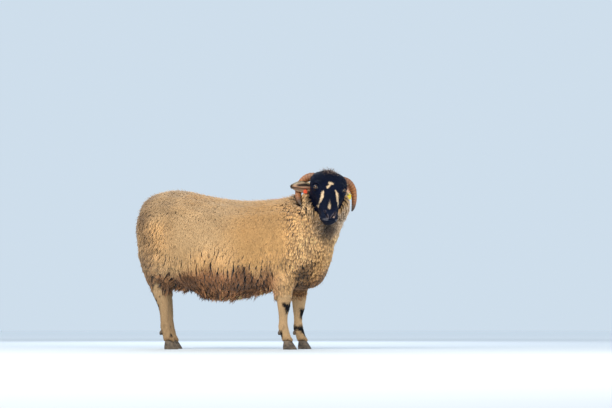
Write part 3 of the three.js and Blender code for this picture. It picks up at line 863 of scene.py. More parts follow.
def tube(rings, around):
    """A closed upright tube of the bmesh kind, and each corner's share along it and angle round it."""
    made = bmesh.new()
    bmesh.ops.create_cone(made, cap_ends=True, segments=around, radius1=1, radius2=1, depth=2)
    upright = [e for e in made.edges if abs(e.verts[0].co.z - e.verts[1].co.z) > 1]
    bmesh.ops.subdivide_edges(made, edges=upright, cuts=rings - 2)
    raw = np.array([v.co for v in made.verts])
    return made, (raw[:, 2] + 1) / 2, np.arctan2(raw[:, 1], raw[:, 0])


# Keratin: waxy, darker in the grooves, with long fibres towards the tip.
horn_finish, shader = finish("horn_keratin")
spot = add(horn_finish, "TexCoord", {}).outputs["Object"]
grown = add(horn_finish, "Attribute", {}, attribute_name="growth").outputs["Vector"]
parts = add(horn_finish, "SeparateXYZ", {"Vector": grown})
drawn_out = add(horn_finish, "Mapping", {"Vector": grown, "Scale": (1.2, 34, 1)}).outputs["Vector"]
fibres = add(horn_finish, "TexNoise", {"Vector": drawn_out, "Scale": 3.0, "Detail": 5.0, "Roughness": 0.6})
spots = add(horn_finish, "TexNoise", {"Vector": spot, "Scale": 60.0, "Detail": 4.0})
length_ramp = add(horn_finish, "ValToRGB", {"Fac": parts.outputs["X"]}, HORN_COLOURS)
fibre_ramp = add(horn_finish, "ValToRGB", {"Fac": fibres.outputs["Fac"]}, [(0.3, "#8f7a6a"), (0.7, "#ffffff")])
groove_ramp = add(horn_finish, "ValToRGB", {"Fac": parts.outputs["Z"]}, [(0.1, "#a8958a"), (0.6, "#ffffff")])
colours = {"Factor": fibres.outputs["Fac"], "A": length_ramp.outputs["Color"], "B": fibre_ramp.outputs["Color"]}
streaked = add(horn_finish, "Mix", colours, data_type="RGBA", blend_type="MULTIPLY")
colours = {"Factor": 0.55, "A": streaked.outputs["Result"], "B": groove_ramp.outputs["Color"]}
darkening = add(horn_finish, "Mix", colours, data_type="RGBA", blend_type="MULTIPLY")
waxy = {"Value": spots.outputs["Fac"], "From Min": 0.3, "From Max": 0.7, "To Min": 0.42, "To Max": 0.62}
grain = add(horn_finish, "Bump", {"Height": fibres.outputs["Fac"], "Strength": 0.35, "Distance": 0.6 * MM})
feed(horn_finish, shader, {
    "Base Color": darkening.outputs["Result"],
    "Roughness": add(horn_finish, "MapRange", waxy).outputs["Result"],
    "IOR": 1.54,
    "Normal": grain.outputs["Normal"],
})

for side, sign in SIDES.items():
    turns = [from_level(ahead, sign * out * HORN_SPREAD[side], up) for ahead, out, up in HORN_ROUTE]
    route = smooth_route(turns, HORN_RINGS)
    sides, ups = carried_frames(route, (0, 0, 1))
    sheath, share, angle = tube(HORN_RINGS, 30)
    ring = np.rint(share * (HORN_RINGS - 1)).astype(int)
    yearly = 0.5 + 0.5 * np.cos(2 * math.pi * GROOVES * share**0.9 + 0.6 * np.sin(angle + 3 * share))
    wrinkle = np.sin(2 * math.pi * WRINKLES * share + 0.8 * np.sin(2 * angle)) * (1 - share) ** 0.7
    radius = np.maximum(HORN_RADIUS * (1 + HORN_SWELL[side] * share) * (1 - share) ** 0.45, 0.8)
    relief = (1.0 * yearly**1.5 + 0.35 * wrinkle) * (1 - share) ** 0.6
    radius = radius * (1 + 0.05 * np.cos(2 * (angle - 0.7))) + relief - 0.3
    radius *= np.where((share > 0.999) | (share < 0.0001), 0.35, 1)
    around = sides[ring] * np.cos(angle)[:, None] + 0.9 * ups[ring] * np.sin(angle)[:, None]
    horn_mesh = mesh_from(sheath, f"horn_{side}_sheath", from_face(route[ring] + around * radius[:, None]))
    store(horn_mesh, "growth", np.stack([share, angle / (2 * math.pi), yearly], 1), "vector")
    horn = place(horn_mesh.name, horn_mesh, horn_finish)
    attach(horn, "root")
    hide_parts(f"horn_{side}")


# ---- claws and dewclaws ----------------------------------------------------------------------------------
# Each foot stands on two claws of grey-brown horn with flat soles, and two small dewclaws hang behind the
# pastern. The horn grows down from the hair in fine level ridges.

TRACK_HALF = 84
FEET = {  # end and side of the body: forward place of the foot's middle
    ("fore", "left"): 219 + 21, ("fore", "right"): 186 + 21,
    ("hind", "left"): -343 + 24, ("hind", "right"): -317 + 24,
}
CLAW_LENGTH, CLAW_HEIGHT = 54, 36
CLAW_APART = 13.4  # from the foot's middle to a claw's
CLAW_LEVELS = [0, 0.05, 0.4, 0.8, 1.0]
CLAW_REACH = [CLAW_LENGTH / 2 - short for short in (1.2, 0, 4, 10, 14)]
CLAW_WIDTH = [10.8, 11.6, 11.8, 10.6, 8.5]
CLAW_BACK = [0, 0, -4, -8, -10]
DEWCLAW_HALF, DEWCLAW_LONG = 6.6, 21
DEWCLAW_PLACE = (-32, 12, 70)  # behind the foot's middle, to its side, up

# Hoof horn: dull and dry, mottled from dark to grey-brown, with fine level ridges in its surface.
hoof_finish, shader = finish("hoof_horn")
spot = add(hoof_finish, "TexCoord", {}).outputs["Object"]
level_bands = {"Vector": spot, "Scale": 62.0, "Distortion": 1.2, "Detail": 2.0}
bands = add(hoof_finish, "TexWave", level_bands, bands_direction="Z")
dirt = add(hoof_finish, "TexNoise", {"Vector": spot, "Scale": 90.0, "Detail": 5.0})
hoof_ramp = add(hoof_finish, "ValToRGB", {"Fac": dirt.outputs["Fac"]}, [(0.3, "#2a2420"), (0.72, "#6d5d4b")])
ridges = add(hoof_finish, "Bump", {"Height": bands.outputs["Fac"], "Strength": 0.5, "Distance": 0.5 * MM})
feed(hoof_finish, shader, {
    "Base Color": hoof_ramp.outputs["Color"],
    "Roughness": 0.6,
    "IOR": 1.5,
    "Normal": ridges.outputs["Normal"],
})


def claw_of(foot_x, sign, apart):
    """A claw's bmesh and its corners' places: blunt behind, drawn in towards the toe, narrower at the top."""
    claw, share, angle = tube(16, 28)
    reach, width, back = [np.interp(share, CLAW_LEVELS, v) for v in (CLAW_REACH, CLAW_WIDTH, CLAW_BACK)]
    ridge = 1 + 0.012 * np.sin(share * 40) * (share > 0.08)
    bent = [np.sign(v) * np.abs(v) ** (2 / 2.4) for v in (np.cos(angle), np.sin(angle))]
    x = back + reach * ridge * bent[0]
    toe = np.maximum(0, x / (CLAW_LENGTH / 2)) ** 2
    y = width * ridge * bent[1] * (1 - 0.5 * toe) - apart * sign * 2.5 * toe
    across = y + sign * (TRACK_HALF + apart * CLAW_APART)
    return claw, np.stack([x + foot_x + 8, across, share * CLAW_HEIGHT], 1)


def dewclaw_of(foot_x, sign, apart):
    stub, share, angle = tube(12, 14)
    half = DEWCLAW_HALF * np.sqrt(np.clip(np.sin(math.pi * np.clip(share * 0.94 + 0.03, 0, 1)), 0.01, 1))
    where = np.stack([-4 * share + half * np.cos(angle), half * np.sin(angle), 10 - DEWCLAW_LONG * share], 1)
    behind, beside, up = DEWCLAW_PLACE
    return stub, where + [foot_x + behind, sign * TRACK_HALF + apart * beside, up]


for (end, side), foot_x in FEET.items():
    for part, apart in (("outer", 1), ("inner", -1)):
        for kind, shape_of in (("claw", claw_of), ("dewclaw", dewclaw_of)):
            made, where = shape_of(foot_x, SIDES[side], apart)
            node = f"{kind}_{end}_{side}_{part}"
            claw_mesh = mesh_from(made, node + "_horn", where * MM + np.array(SHIFT))
            piece = place(claw_mesh.name, claw_mesh, hoof_finish)
            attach(piece, "root")
            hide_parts(node)


# ---- ear tags --------------------------------------------------------------------------------------------
# Two-part tags moulded from soft polyurethane, pinned through the ear's lower edge: a small red one in the
# right ear and a larger yellow one in the left. They are blank.

SCUFFED = 0.72  # brightness where the tag is scuffed
for name, colour in (("red", "#e8521c"), ("yellow", "#f0d51a")):
    tag_finish, shader = finish(f"polyurethane_{name}")
    spot = add(tag_finish, "TexCoord", {}).outputs["Object"]
    scuffs = add(tag_finish, "TexNoise", {"Vector": spot, "Scale": 260.0, "Detail": 4.0})
    scuffed = tuple(SCUFFED * c for c in linear(colour)[:3]) + (1,)
    colours = {"Factor": scuffs.outputs["Fac"], "A": linear(colour), "B": scuffed}
    feed(tag_finish, shader, {
        "Base Color": add(tag_finish, "Mix", colours, data_type="RGBA").outputs["Result"],
        "Roughness": 0.38,
        "Subsurface Weight": 0.15,
        "Subsurface Radius": (0.002, 0.001, 0.0006),
    })
    tag_mesh = mesh_of(merged_copy([f"tag_{name}"]), f"tag_{name}_blank")
    tag = place(tag_mesh.name, tag_mesh, tag_finish)
    rounding = tag.modifiers.new("rounding", "BEVEL")
    rounding.width, rounding.segments, rounding.limit_method = 0.45 * MM, 2, "ANGLE"
    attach(tag, "root")
    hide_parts(f"tag_{name}")


# ---- fleece ----------------------------------------------------------------------------------------------
# A hill breed's long coarse wool: crimped locks that grow out of the skin, cling together in pointed
# staples and hang down the sides. It is cream where rain has washed it and grey-brown where it is dirty,
# under the belly; painted shade darkens it there, on the brisket, under the chin and at the locks' roots.


def wool_colours(points):
    """Colours of the wool at its tips and at its roots, and how far up the lock the root's colour reaches."""
    spot = in_body(points)
    x, y, z = spot.T
    drift = wander(points, 0.16, 11)
    grain = wander(points, 0.045, 12)
    ragged = z + 14 * drift + 18 * grain
    rump = ease(-330, -400, x) * 0.5 + 0.5 * ease(-210, -320, x) * (0.6 + 0.5 * wander(points, 0.06, 14))
    low = ease(322, 280, ragged) * ease(-400, -330, x + 0.2 * (z - 300)) * ease(205, 120, x)
    thigh = 0.75 * ease(318, 270, ragged) * ease(-250, -300, x)
    # Painted shade: the wool of the brisket, between the forelegs, is darkened.
    brisket = ease(1.4, 0.4, reach_of(spot, (268, -84, 300), (46, 50, 44)) + 0.35 * grain)
    breast = 0.7 * ease(330, 250, ragged) * ease(130, 190, x) * ease(110, 60, np.abs(y))
    # Painted shadow: the wool under the chin, in the head's shadow, is darkened at its tips and roots.
    chin = ease(118, 40, reach_of(spot, (404, -116, 474), (1, 1, 0.8)) + 10 * grain)
    # Darker low on the body: real dirt, with painted shade under the belly and on the brisket.
    darkening = np.clip(np.maximum.reduce([low, thigh, breast, 0.4 * brisket]), 0, 1)
    front = ease(290, 335, x) * ease(470, 540, z)
    # Darker roots low on the sides, on the neck and on the rump: the wool's own colour, with painted shade.
    dark_root = 0.75 * ease(430, 330, z + 30 * drift) * ease(-420, -260, x) * ease(250, 150, x)
    dark_root = np.maximum(dark_root, ease(140, 205, x) * ease(640, 560, z) * (1 - 0.9 * front))
    dark_root = np.maximum(dark_root, 0.25 * ease(-260, -340, x) * ease(540, 420, z))
    smit = ease(52, 12, reach_of(spot, (150, -30, 640), (1, 0.9, 0.8)) + 8 * grain)
    # The wool's colour low on the body: dirt, darkened further by painted shade.
    soiled_and_shaded = layered(tone("#b98156"), ("#96704f", thigh)) * (1 + 0.5 * grain)[:, None]

    washed = layered(tone("#dbae74"), ("#e0bd8f", ease(-1, 1, drift + 0.9 * ease(470, 640, z) - 0.3)))
    tip = layered(washed, ("#94785a", np.clip(rump, 0, 1))) * (1 + 0.06 * grain)[:, None]
    # Roots darker than the tips: the wool's own colour near the skin, with painted shade deep in the fleece.
    root = layered(
        tip * [0.86, 0.81, 0.74],
        ("#452914", dark_root),
        # dirty roots low on the body, darker still with painted shade there and on the brisket
        ("#160c08", np.clip(1.5 * np.maximum(darkening, brisket), 0, 1)),
        # painted shadow under the chin
        ("#2b211a", chin),
    )
    tip = layered(
        tip,
        ("#dcc6af", 0.9 * (ease(300, 350, x) * ease(430, 520, z))),  # greyer on the neck
        # dirt, with painted shade, low on the body
        (soiled_and_shaded, darkening),
        # painted shade on the brisket
        ("#5a3f29", np.clip(brisket * (0.3 + 0.5 * wander(points, 0.022, 19)), 0, 1)),
        # painted shadow under the chin
        ("#3a2f2a", chin),
        ("#c8453f", 0.7 * smit),  # the owner's smudge of red marking fluid on the withers
    )
    return tip, root, 0.27 * np.clip(np.maximum(darkening, 0.7 * brisket), 0, 1) - 0.05 * rump


def unit(ways):
    return ways / np.maximum(np.linalg.norm(ways, axis=-1, keepdims=True), 1e-9)


def along_skin(ways, outward):
    """The part of each way that runs along the skin."""
    return ways - outward * (ways * outward).sum(1, keepdims=True)


def lie_of(points, outward):
    """The way the coat lies: down the sides, back over the rump, away from the middle of the back."""
    x, y, z = in_body(points).T
    rump = ease(-230, -380, x)
    aside = 0.25 * np.sign(y) * ease(0, 40, np.abs(y))
    way = np.stack([-0.03 - 0.6 * rump + 0.16 * wander(points, 0.12, 21), aside, -np.ones(len(x))], 1)
    way[:, 0] -= 0.45 * ease(0.75, 0.98, outward[:, 2])
    way[:, 0] -= 0.25 * (ease(285, 350, x) * ease(430, 520, z))
    way = along_skin(way, outward)
    short = np.linalg.norm(way, axis=1, keepdims=True)
    back = np.array([-1.0, 0, 0]) - outward * (outward @ [-1.0, 0, 0])[:, None]
    return unit(way + back * np.clip(0.35 - short, 0, 1))


def scatter(mesh, weight, spacing, draws):
    """Roots spread over a mesh's faces at a mean spacing in millimetres, with the skin's direction there."""
    middle = read(mesh.polygons, "center")
    wanted = read(mesh.polygons, "area", 1) / (spacing * MM) ** 2 * weight(middle)
    number = np.floor(wanted + draws.random(len(middle))).astype(int)
    pick = np.repeat(np.arange(len(middle)), number)
    starts, totals = [read(mesh.polygons, field, 1, np.int64) for field in ("loop_start", "loop_total")]
    loops = read(mesh.loops, "vertex_index", 1, np.int64)
    around = draws.integers(0, 1 << 30, (2, len(pick))) % totals[pick]
    ends = corners(mesh)[loops[starts[pick] + around]]
    share = draws.random((2, len(pick), 1)) * 0.5
    roots = middle[pick] + ((ends - middle[pick]) * share).sum(0)
    return roots, normals(mesh)[loops[starts[pick]]]


def surface(points):
    """The nearest places on the outline, its direction there and how deep the coat is there, in metres."""
    places, ways, faces, _ = zip(*[outline_tree.find_nearest(p) for p in points])
    return np.array(places), np.array(ways), depth_at_face[list(faces)] * MM


LOCK_SIDES = 3
STRANDS_APART = 97.0  # millimetres between one lock's strands and the next one's, so that no two look the same
UV_PATCH = 0.003  # side of the small square that each lock takes up on the unwrap


def locks(name, paths, sides, ups, half, thick, colours, uv, material, rounded=1.0):
    """One mesh of many tapered locks. paths, half, thick and colours run from root to tip for each lock;
    rounded says how much of a lock's roundness its shading shows, from 0 for a flat haze to 1."""
    count, rings = paths.shape[:2]
    turns = np.arange(LOCK_SIDES)
    angle = np.pi / 2 + 2 * np.pi * turns / LOCK_SIDES
    cos, sin = [f(angle)[None, None, :, None] for f in (np.cos, np.sin)]
    sides, ups = sides[:, :, None], ups[:, :, None]
    ring = paths[:, :-1, None] + (half[:, :-1, None, None] * cos) * sides
    ring += (thick[:, :-1, None, None] * sin) * ups
    places = np.concatenate([ring.reshape(count, -1, 3), paths[:, -1:]], 1)
    each = places.shape[1]

    # A lock's faces: rings of quads, a fan of triangles to the tip and one triangle that closes the root.
    after = (turns + 1) % LOCK_SIDES
    steps = LOCK_SIDES * np.arange(rings - 2)[:, None, None]
    quads = (steps + np.stack([turns, after, after + LOCK_SIDES, turns + LOCK_SIDES], 1)).reshape(-1, 4)
    last = (rings - 2) * LOCK_SIDES
    fans = np.vstack([np.stack([last + turns, last + after, np.full(LOCK_SIDES, each - 1)], 1), turns[::-1]])
    loops = np.concatenate([quads.ravel(), fans.ravel()]) + np.arange(count)[:, None] * each
    sizes = np.array([4] * len(quads) + [3] * len(fans))
    starts = np.concatenate([[0], np.cumsum(sizes)[:-1]]) + np.arange(count)[:, None] * loops.shape[1]
    mesh = bpy.data.meshes.new(name)
    mesh.vertices.add(count * each)
    mesh.vertices.foreach_set("co", places.ravel())
    mesh.loops.add(loops.size)
    mesh.loops.foreach_set("vertex_index", loops.ravel())
    mesh.polygons.add(count * len(sizes))
    mesh.polygons.foreach_set("loop_start", starts.ravel())
    mesh.polygons.foreach_set("use_smooth", np.ones(count * len(sizes), dtype=bool))
    mesh.update(calc_edges=True)

    # Shading: a rounded lock faces outwards all round, a hazy one faces the way that the coat does.
    rounded = np.broadcast_to(rounded, count)[:, None, None, None]
    facing = cos * sides * rounded + (sin * rounded + 1.1 - rounded) * ups
    facing = np.concatenate([facing.reshape(count, -1, 3), ups[:, -1]], 1).reshape(-1, 3)
    mesh.normals_split_custom_set_from_vertices(unit(facing))

    level = np.append(np.repeat(np.arange(rings - 1), LOCK_SIDES), rings - 1)
    store(mesh, "wool", colours[:, level])
    run = np.linalg.norm(np.diff(paths, axis=1), axis=2).cumsum(1) / MM
    along = np.concatenate([np.zeros((count, 1)), run], 1)[:, level]
    across = half[:, level] / MM * np.append(np.tile(np.cos(angle), rings - 1), 0)
    start = STRANDS_APART * (np.arange(count) % 53)[:, None]
    store(mesh, "strand", np.stack([across + start, along + start, np.zeros_like(along)], 2), "vector")
    around = np.append(np.tile(turns, rings - 1), LOCK_SIDES / 2) / LOCK_SIDES
    place_uv = uv[:, None, :] + UV_PATCH * (np.stack([around, level / (rings - 1)], 1) - 0.5)[None]
    unwrap = mesh.uv_layers.new(name="OFBake")
    unwrap.data.foreach_set("uv", place_uv.reshape(-1, 2)[loops.ravel()].astype(np.float32).ravel())
    return place(name, mesh, material)


BODY_AXIS = 430  # height of the middle line that the coat is unwrapped round


def unwrapped(points, axis_height=BODY_AXIS):
    """Places on an unwrap round the body's length, spread over the piece's own square."""
    spot = in_body(points)
    turn = np.arctan2(spot[:, 1], axis_height - spot[:, 2])
    spread = [(v - v.min()) / max(np.ptp(v), 1e-6) for v in (spot[:, 0], turn)]
    return 0.01 + 0.98 * np.stack(spread, 1)


# Wool: dull fibres with a little sheen at the edges; the fine strands are drawn 1.5 mm wide, coarser than
# real ones, so that they still show.
wool_finish, shader = finish("fleece_wool")
strand_place = add(wool_finish, "Attribute", {}, attribute_name="strand").outputs["Vector"]
strand_size = add(wool_finish, "VectorMath", {0: strand_place, 1: (1.1, 0.16, 1)}, operation="MULTIPLY")
drawn_out = {"Vector": strand_size.outputs["Vector"], "Scale": 1.0, "Detail": 3.0, "Roughness": 0.7}
strands = add(wool_finish, "TexNoise", drawn_out)
along_strand = add(wool_finish, "SeparateXYZ", {"Vector": strand_place}).outputs["Y"]
drifting = add(wool_finish, "Math", {0: strands.outputs["Fac"], 1: 3.0}, operation="MULTIPLY").outputs["Value"]
crimp_turn = add(wool_finish, "Math", {0: along_strand, 1: 1.3, 2: drifting}, operation="MULTIPLY_ADD")
crimp = add(wool_finish, "Math", {0: crimp_turn.outputs["Value"]}, operation="SINE")
waves = {0: crimp.outputs["Value"], 1: 0.2, 2: strands.outputs["Fac"]}
relief = add(wool_finish, "Math", waves, operation="MULTIPLY_ADD")
fibrous = add(wool_finish, "Bump", {"Height": relief.outputs["Value"], "Strength": 0.9, "Distance": 1.2 * MM})
feed(wool_finish, shader, {
    "Base Color": grained(wool_finish, "wool", strands, "#a3937f", 0.85, 0.34, 0.58),
    "Roughness": 0.92,
    "Specular IOR Level": 0.25,
    "Sheen Weight": 0.25,
    "Sheen Roughness": 0.5,
    "Normal": fibrous.outputs["Normal"],
})

draws = np.random.default_rng(7)
LOCK_SPACING = 5.4
RINGS = 7
STAPLE = 17.0  # mean width of a staple, in millimetres
ROW = 13.0  # from one crimp to the next down the crimped wool: the tips there end together in wavy rows
WAVE, SWAY = 15.0, 19.0  # length of a lock's two bends
LOCK_CLEAR = 5.5  # from a lock to a horn, an ear, a tag or an eye
in_pairs = [f"{node}_{side}" for node in ("horn", "ear", "eye") for side in SIDES]
spare_tree = tree_of(in_pairs + ["tag_red", "tag_yellow"])


def woolled(points):
    """1 where wool grows, more on the top of the rump where locks part, 0 on the face and the lower legs."""
    x, _, z = in_body(points).T
    found = [head_tree.find_nearest(p)[:2] for p in points]
    inside = np.array([(Vector(p) - at).dot(way) < 0 for p, (at, way) in zip(points, found)])
    wool = ease(5, 9, near(head_tree, points)) * ~inside
    for end, reach, high, low, ragged, seed in (("fore", 16, 270, 260, 8, 5), ("hind", 20, 300, 284, 12, 6)):
        of_leg = (near(leg_trees[end], points) < reach) & (z < high)
        wool *= np.where(of_leg, z > low + ragged * wander(points, 0.03, seed), 1)
    return wool * (z > 190) * (1 + 0.5 * ease(575, 615, z) * ease(-60, -170, x))


roots, outward = scatter(skin_mesh, woolled, LOCK_SPACING, draws)
count = len(roots)
lie = lie_of(roots, outward)
aside = np.cross(outward, lie)
from_head = near(head_tree, roots)
x, y, z = in_body(roots).T

# What varies over the body: where the wool hangs shaggy, where it is combed soft by the weather, where it
# lies in level crimps, how long the locks are, how far they stand out and how much they cling together.
belly = ease(315, 272, z + 14 * wander(roots, 0.05, 15)) * ease(205, 130, x) * ease(-380, -300, x)
rump_side = 0.9 * ease(-240, -330, x) * ease(590, 500, z)
soft = ease(360, 450, z + 40 * wander(roots, 0.1, 16)) * ease(235, 165, x) * (1 - rump_side)
soft = np.maximum(soft, 0.9 * ease(550, 600, z) * ease(300, 250, x))
crimped = ease(120, 200, x + 30 * wander(roots, 0.08, 17))
crimped = np.maximum(crimped, 0.6 * ease(-230, -310, x) * ease(560, 480, z))
crimped = np.maximum(crimped, 0.3) * (1 - 0.6 * belly) * (1 - 0.8 * soft)
parted = ease(430, 370, z + 20 * wander(roots, 0.07, 18)) * ease(-60, 0, x) * ease(150, 90, x)
forehand = ease(150, 215, x)
length = 50 + 10 * draws.random(count) + 6 * belly - 8 * soft - 10 * forehand
length *= 0.6 + 0.4 * ease(2, 34, from_head)
cling = np.clip(0.5 - 0.45 * soft + 0.15 * parted + 0.4 * belly - 0.35 * forehand, 0.05, 1)
throat = 6 * ease(290, 340, x) * ease(290, 340, z) * ease(570, 500, z)
buttock = 8 * ease(-330, -390, x) * ease(270, 340, z) * ease(600, 540, z)
topline = 4 * ease(0.2, 0.8, outward[:, 2]) * ease(500, 560, z)
behind_cheek = 24 * ease(235, 262, x) * ease(560, 590, z) * ease(-10, -40, y)
swell = throat + buttock + topline + behind_cheek

# Staples: each lock leans towards the middle line of the staple that it belongs to.
middles = draws.permutation(count)[: int(count * (LOCK_SPACING / STAPLE) ** 2)]
staples = KDTree(len(middles))
long_staple = np.array([1, 1, 0.55])
for number, root in enumerate(middles):
    staples.insert(roots[root] * long_staple, number)
staples.balance()
member = np.array([staples.find(p)[1] for p in roots * long_staple])
lean = roots[middles[member]] - roots
lean_side = (lean * aside).sum(1)
lean_down = (lean * lie).sum(1)
of_staple = draws.random((len(middles), 4))[member]

depth_here = surface(roots)[2]
tip_depth = 0.8 + (3.5 - 2.9 * soft) * draws.random(count) ** 2
tip_depth += (4.5 - 4.2 * soft - 2.5 * crimped) * of_staple[:, 0] ** 2
tip_depth += 1.5 * (1 - 0.6 * soft) * (wander(roots, 0.05, 31) + 1) + 24 * belly * of_staple[:, 2] ** 2 - swell
phase = of_staple[:, 1] * 6.28
shaggy = np.maximum(belly, 0.2 * ease(330, 250, z) * ease(-240, -300, x))
hang = (4 + 28 * of_staple[:, 2] ** 2 + 16 * draws.random(count) ** 4) * shaggy * MM
curl = draws.normal(size=count) * (2.2 + 5 * belly - 1.2 * soft) * (1 - 0.4 * crimped) * MM


def lock_ring(t, extra):
    """Where the locks are at a share of their length, the outline's direction there, and their level."""
    travel = length * MM * (0.12 * t + 0.88 * t**1.35) * (1 - 0.35 * belly) + extra * t
    rise = 1 - (1 - t) ** (2.1 - 0.55 * crimped)
    pull = cling * t**1.2
    guess = roots + lie * (travel + lean_down * pull * 0.3)[:, None] + aside * (lean_side * pull)[:, None]
    guess += outward * (depth_here * rise)[:, None]
    near_place, near_way, room = surface(guess)
    wave = np.sin(phase + 6.28 * (t * length / WAVE)) * (1 - crimped) * (1 - 0.6 * soft)
    sway = np.cos(phase * 1.7 + 6.28 * (t * length / SWAY))
    proud = tip_depth * rise + 1.4 * (1.2 + wave) * ease(0, 0.25, t) + 2.2 * crimped * ease(0.86, 1, t)
    under = depth_here * (1 - rise) + np.minimum(proud * MM, 0.45 * room)
    bend = (1.8 - 1.1 * soft) * sway * MM * ease(0, 0.3, t) + curl * t**3
    at = near_place - near_way * under[:, None] + aside * bend[:, None]
    at[:, 2] -= hang * t**2
    spot = in_body(near_place)
    level = spot[:, 2] + 9 * wander(near_place, 0.05, 41) + 5 * wander(near_place, 0.02, 42)
    return at, near_way, level + 0.35 * spot[:, 0] * ease(-230, -300, x) + 3 * of_staple[:, 1]


# Where the wool is crimped each lock is lengthened or shortened so that it ends on the nearest row.
level = lock_ring(1.0, 0.0)[2]
to_row = ((level / ROW + 0.5) % 1 - 0.5) * ROW
extra = 0.95 * to_row * np.minimum(1, 1.2 * crimped) * MM
share = np.linspace(0, 1, RINGS)
rings = [lock_ring(t, extra) for t in share]
paths = np.stack([roots] + [at for at, _, _ in rings[1:]], 1)
ups = np.stack([way for _, way, _ in rings[:-1]], 1)
ways = unit(np.gradient(paths, axis=1))
sides = unit(np.cross(ups, ways[:, :-1]))
ups = np.cross(ways[:, :-1], sides)
profile = np.array([0.75, 0.95, 1.0, 0.95, 0.84, 0.56, 0.0])
soft_profile = np.array([0.7, 1.0, 0.95, 0.6, 0.2, 0, 0])  # how much wider a soft lock is
width = (4.3 + 1.4 * draws.random(count) + 0.9 * crimped + 1.4 * soft - 1.2 * belly) * MM
width *= 0.6 + 0.4 * ease(2, 30, from_head)
half = width[:, None] * (profile + soft[:, None] * soft_profile)
thick = width[:, None] * profile * (0.62 - 0.22 * soft)[:, None]

tip_colour, root_colour, dark_up = wool_colours(paths[:, -1])
shade = 0.9 + 0.2 * of_staple[:, 3] * (1 - 0.5 * soft) + 1.3 * belly * (of_staple[:, 3] ** 2 - 0.3)
coarse = 0.5 * ease(110, 270, x) * (1 - 0.7 * ease(280, 330, x) * ease(500, 560, z)) * crimped
coarse = np.maximum(belly, coarse) + 0.45 * ease(-250, -330, x) * (1 - soft)
shade = (shade * (1 - 0.3 * soft) * (1 + (0.07 + coarse) * draws.uniform(-1, 1, count)))[:, None]
# Each lock fades from root colour to tip colour; in crimped wool the dark is painted shade under each row of
# tips.
fade_from, fade_to = 0.12 + 0.43 * crimped + dark_up, 0.72 + 0.12 * crimped + 0.6 * dark_up
fade = np.stack([ease(fade_from, fade_to, t) for t in share], 1)[:, :, None]
colours = root_colour[:, None] * (1 - fade) + tip_colour[:, None] * fade
colours = np.clip(colours * shade[:, :, None], 0, 1)

clear = near(spare_tree, paths[:, 2:].reshape(-1, 3)).reshape(count, -1).min(1) > LOCK_CLEAR
clear &= near(head_tree, paths[:, -1]) > 1.0
rounded = 1 - np.maximum(0.6 * soft, 0.35 * ease(290, 335, x) * ease(470, 540, z))
SECTIONS = {
    "rump": (-1000, -300),
    "loin": (-300, -130),
    "paunch": (-130, 40),
    "ribs": (40, 190),
    "breast": (190, 2000),
}
for section, (start, stop) in SECTIONS.items():
    for side, of_side in (("left", y >= 0), ("right", y < 0)):
        here = np.flatnonzero(clear & of_side & (x >= start) & (x < stop))
        shape = [field[here] for field in (paths, sides, ups, half, thick, colours)]
        uv = unwrapped(roots[here])
        piece = locks(f"fleece_{section}_{side}", *shape, uv, wool_finish, rounded[here])
        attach(piece, "root")

# Stray fibres: fine wisps that stand off the surface, thickest along the back, and make the outline soft.
STRAYS = 10000
fuzzy = clear * (0.25 + ease(430, 560, z) * (1 - 0.5 * ease(200, 280, x)) + 0.7 * belly)
strays = draws.choice(count, STRAYS, replace=False, p=fuzzy / fuzzy.sum())
stray_up = outward[strays]
stray_way = unit(ways[strays, -1] + stray_up * 0.55 + 0.45 * draws.normal(size=(STRAYS, 3)))
stray_long = draws.uniform(7, 15, STRAYS)[:, None] * MM
stray_share = np.linspace(0, 1, 4)
stray_paths = paths[strays, -2][:, None] + stray_way[:, None] * (stray_share * stray_long)[:, :, None]
stray_paths += lie[strays][:, None] * (0.35 * stray_share**2 * stray_long)[:, :, None]
stray_side = unit(np.cross(stray_up, stray_way))
stray_half = draws.uniform(0.4, 0.8, (STRAYS, 1)) * MM * np.array([1, 0.9, 0.6, 0])
stray_colours = np.clip(tip_colour[strays] * 1.04, 0, 1)[:, None] * np.array([0.92, 1, 1, 1])[:, None]
stray_sides, stray_ups = [np.repeat(way[:, None], 3, 1) for way in (stray_side, stray_up)]
for side, of_side in (("left", y[strays] >= 0), ("right", y[strays] < 0)):
    here = np.flatnonzero(of_side)
    fields = (stray_paths, stray_sides, stray_ups, stray_half, stray_half, stray_colours)
    uv = unwrapped(roots[strays][here])
    piece = locks(f"fleece_stray_{side}", *[field[here] for field in fields], uv, wool_finish)
    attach(piece, "root")


# ---- hair of the face, the legs and the poll -------------------------------------------------------------
# Stiff short hair lies flat on the face and the legs; it shows as tufts only at the edges of the form. Longer
# wisps of half wool stand up on the poll between the horns.

# Short hair: stiffer and shinier than wool, a shade that varies from tuft to tuft.
hair_finish, shader = finish("short_hair")
spot = add(hair_finish, "TexCoord", {}).outputs["Object"]
grain = add(hair_finish, "TexNoise", {"Vector": spot, "Scale": 600.0, "Detail": 3.0})
feed(hair_finish, shader, {"Base Color": grained(hair_finish, "wool", grain, "#c8c0b8"), **HAIR_GLOSS})

TUFT_SHARE = np.array([0, 0.4, 0.75, 1.0])
TUFT_HALF = np.array([0.7, 1.0, 0.8, 0.0])
skin_tree = tree_on(skin_mesh)


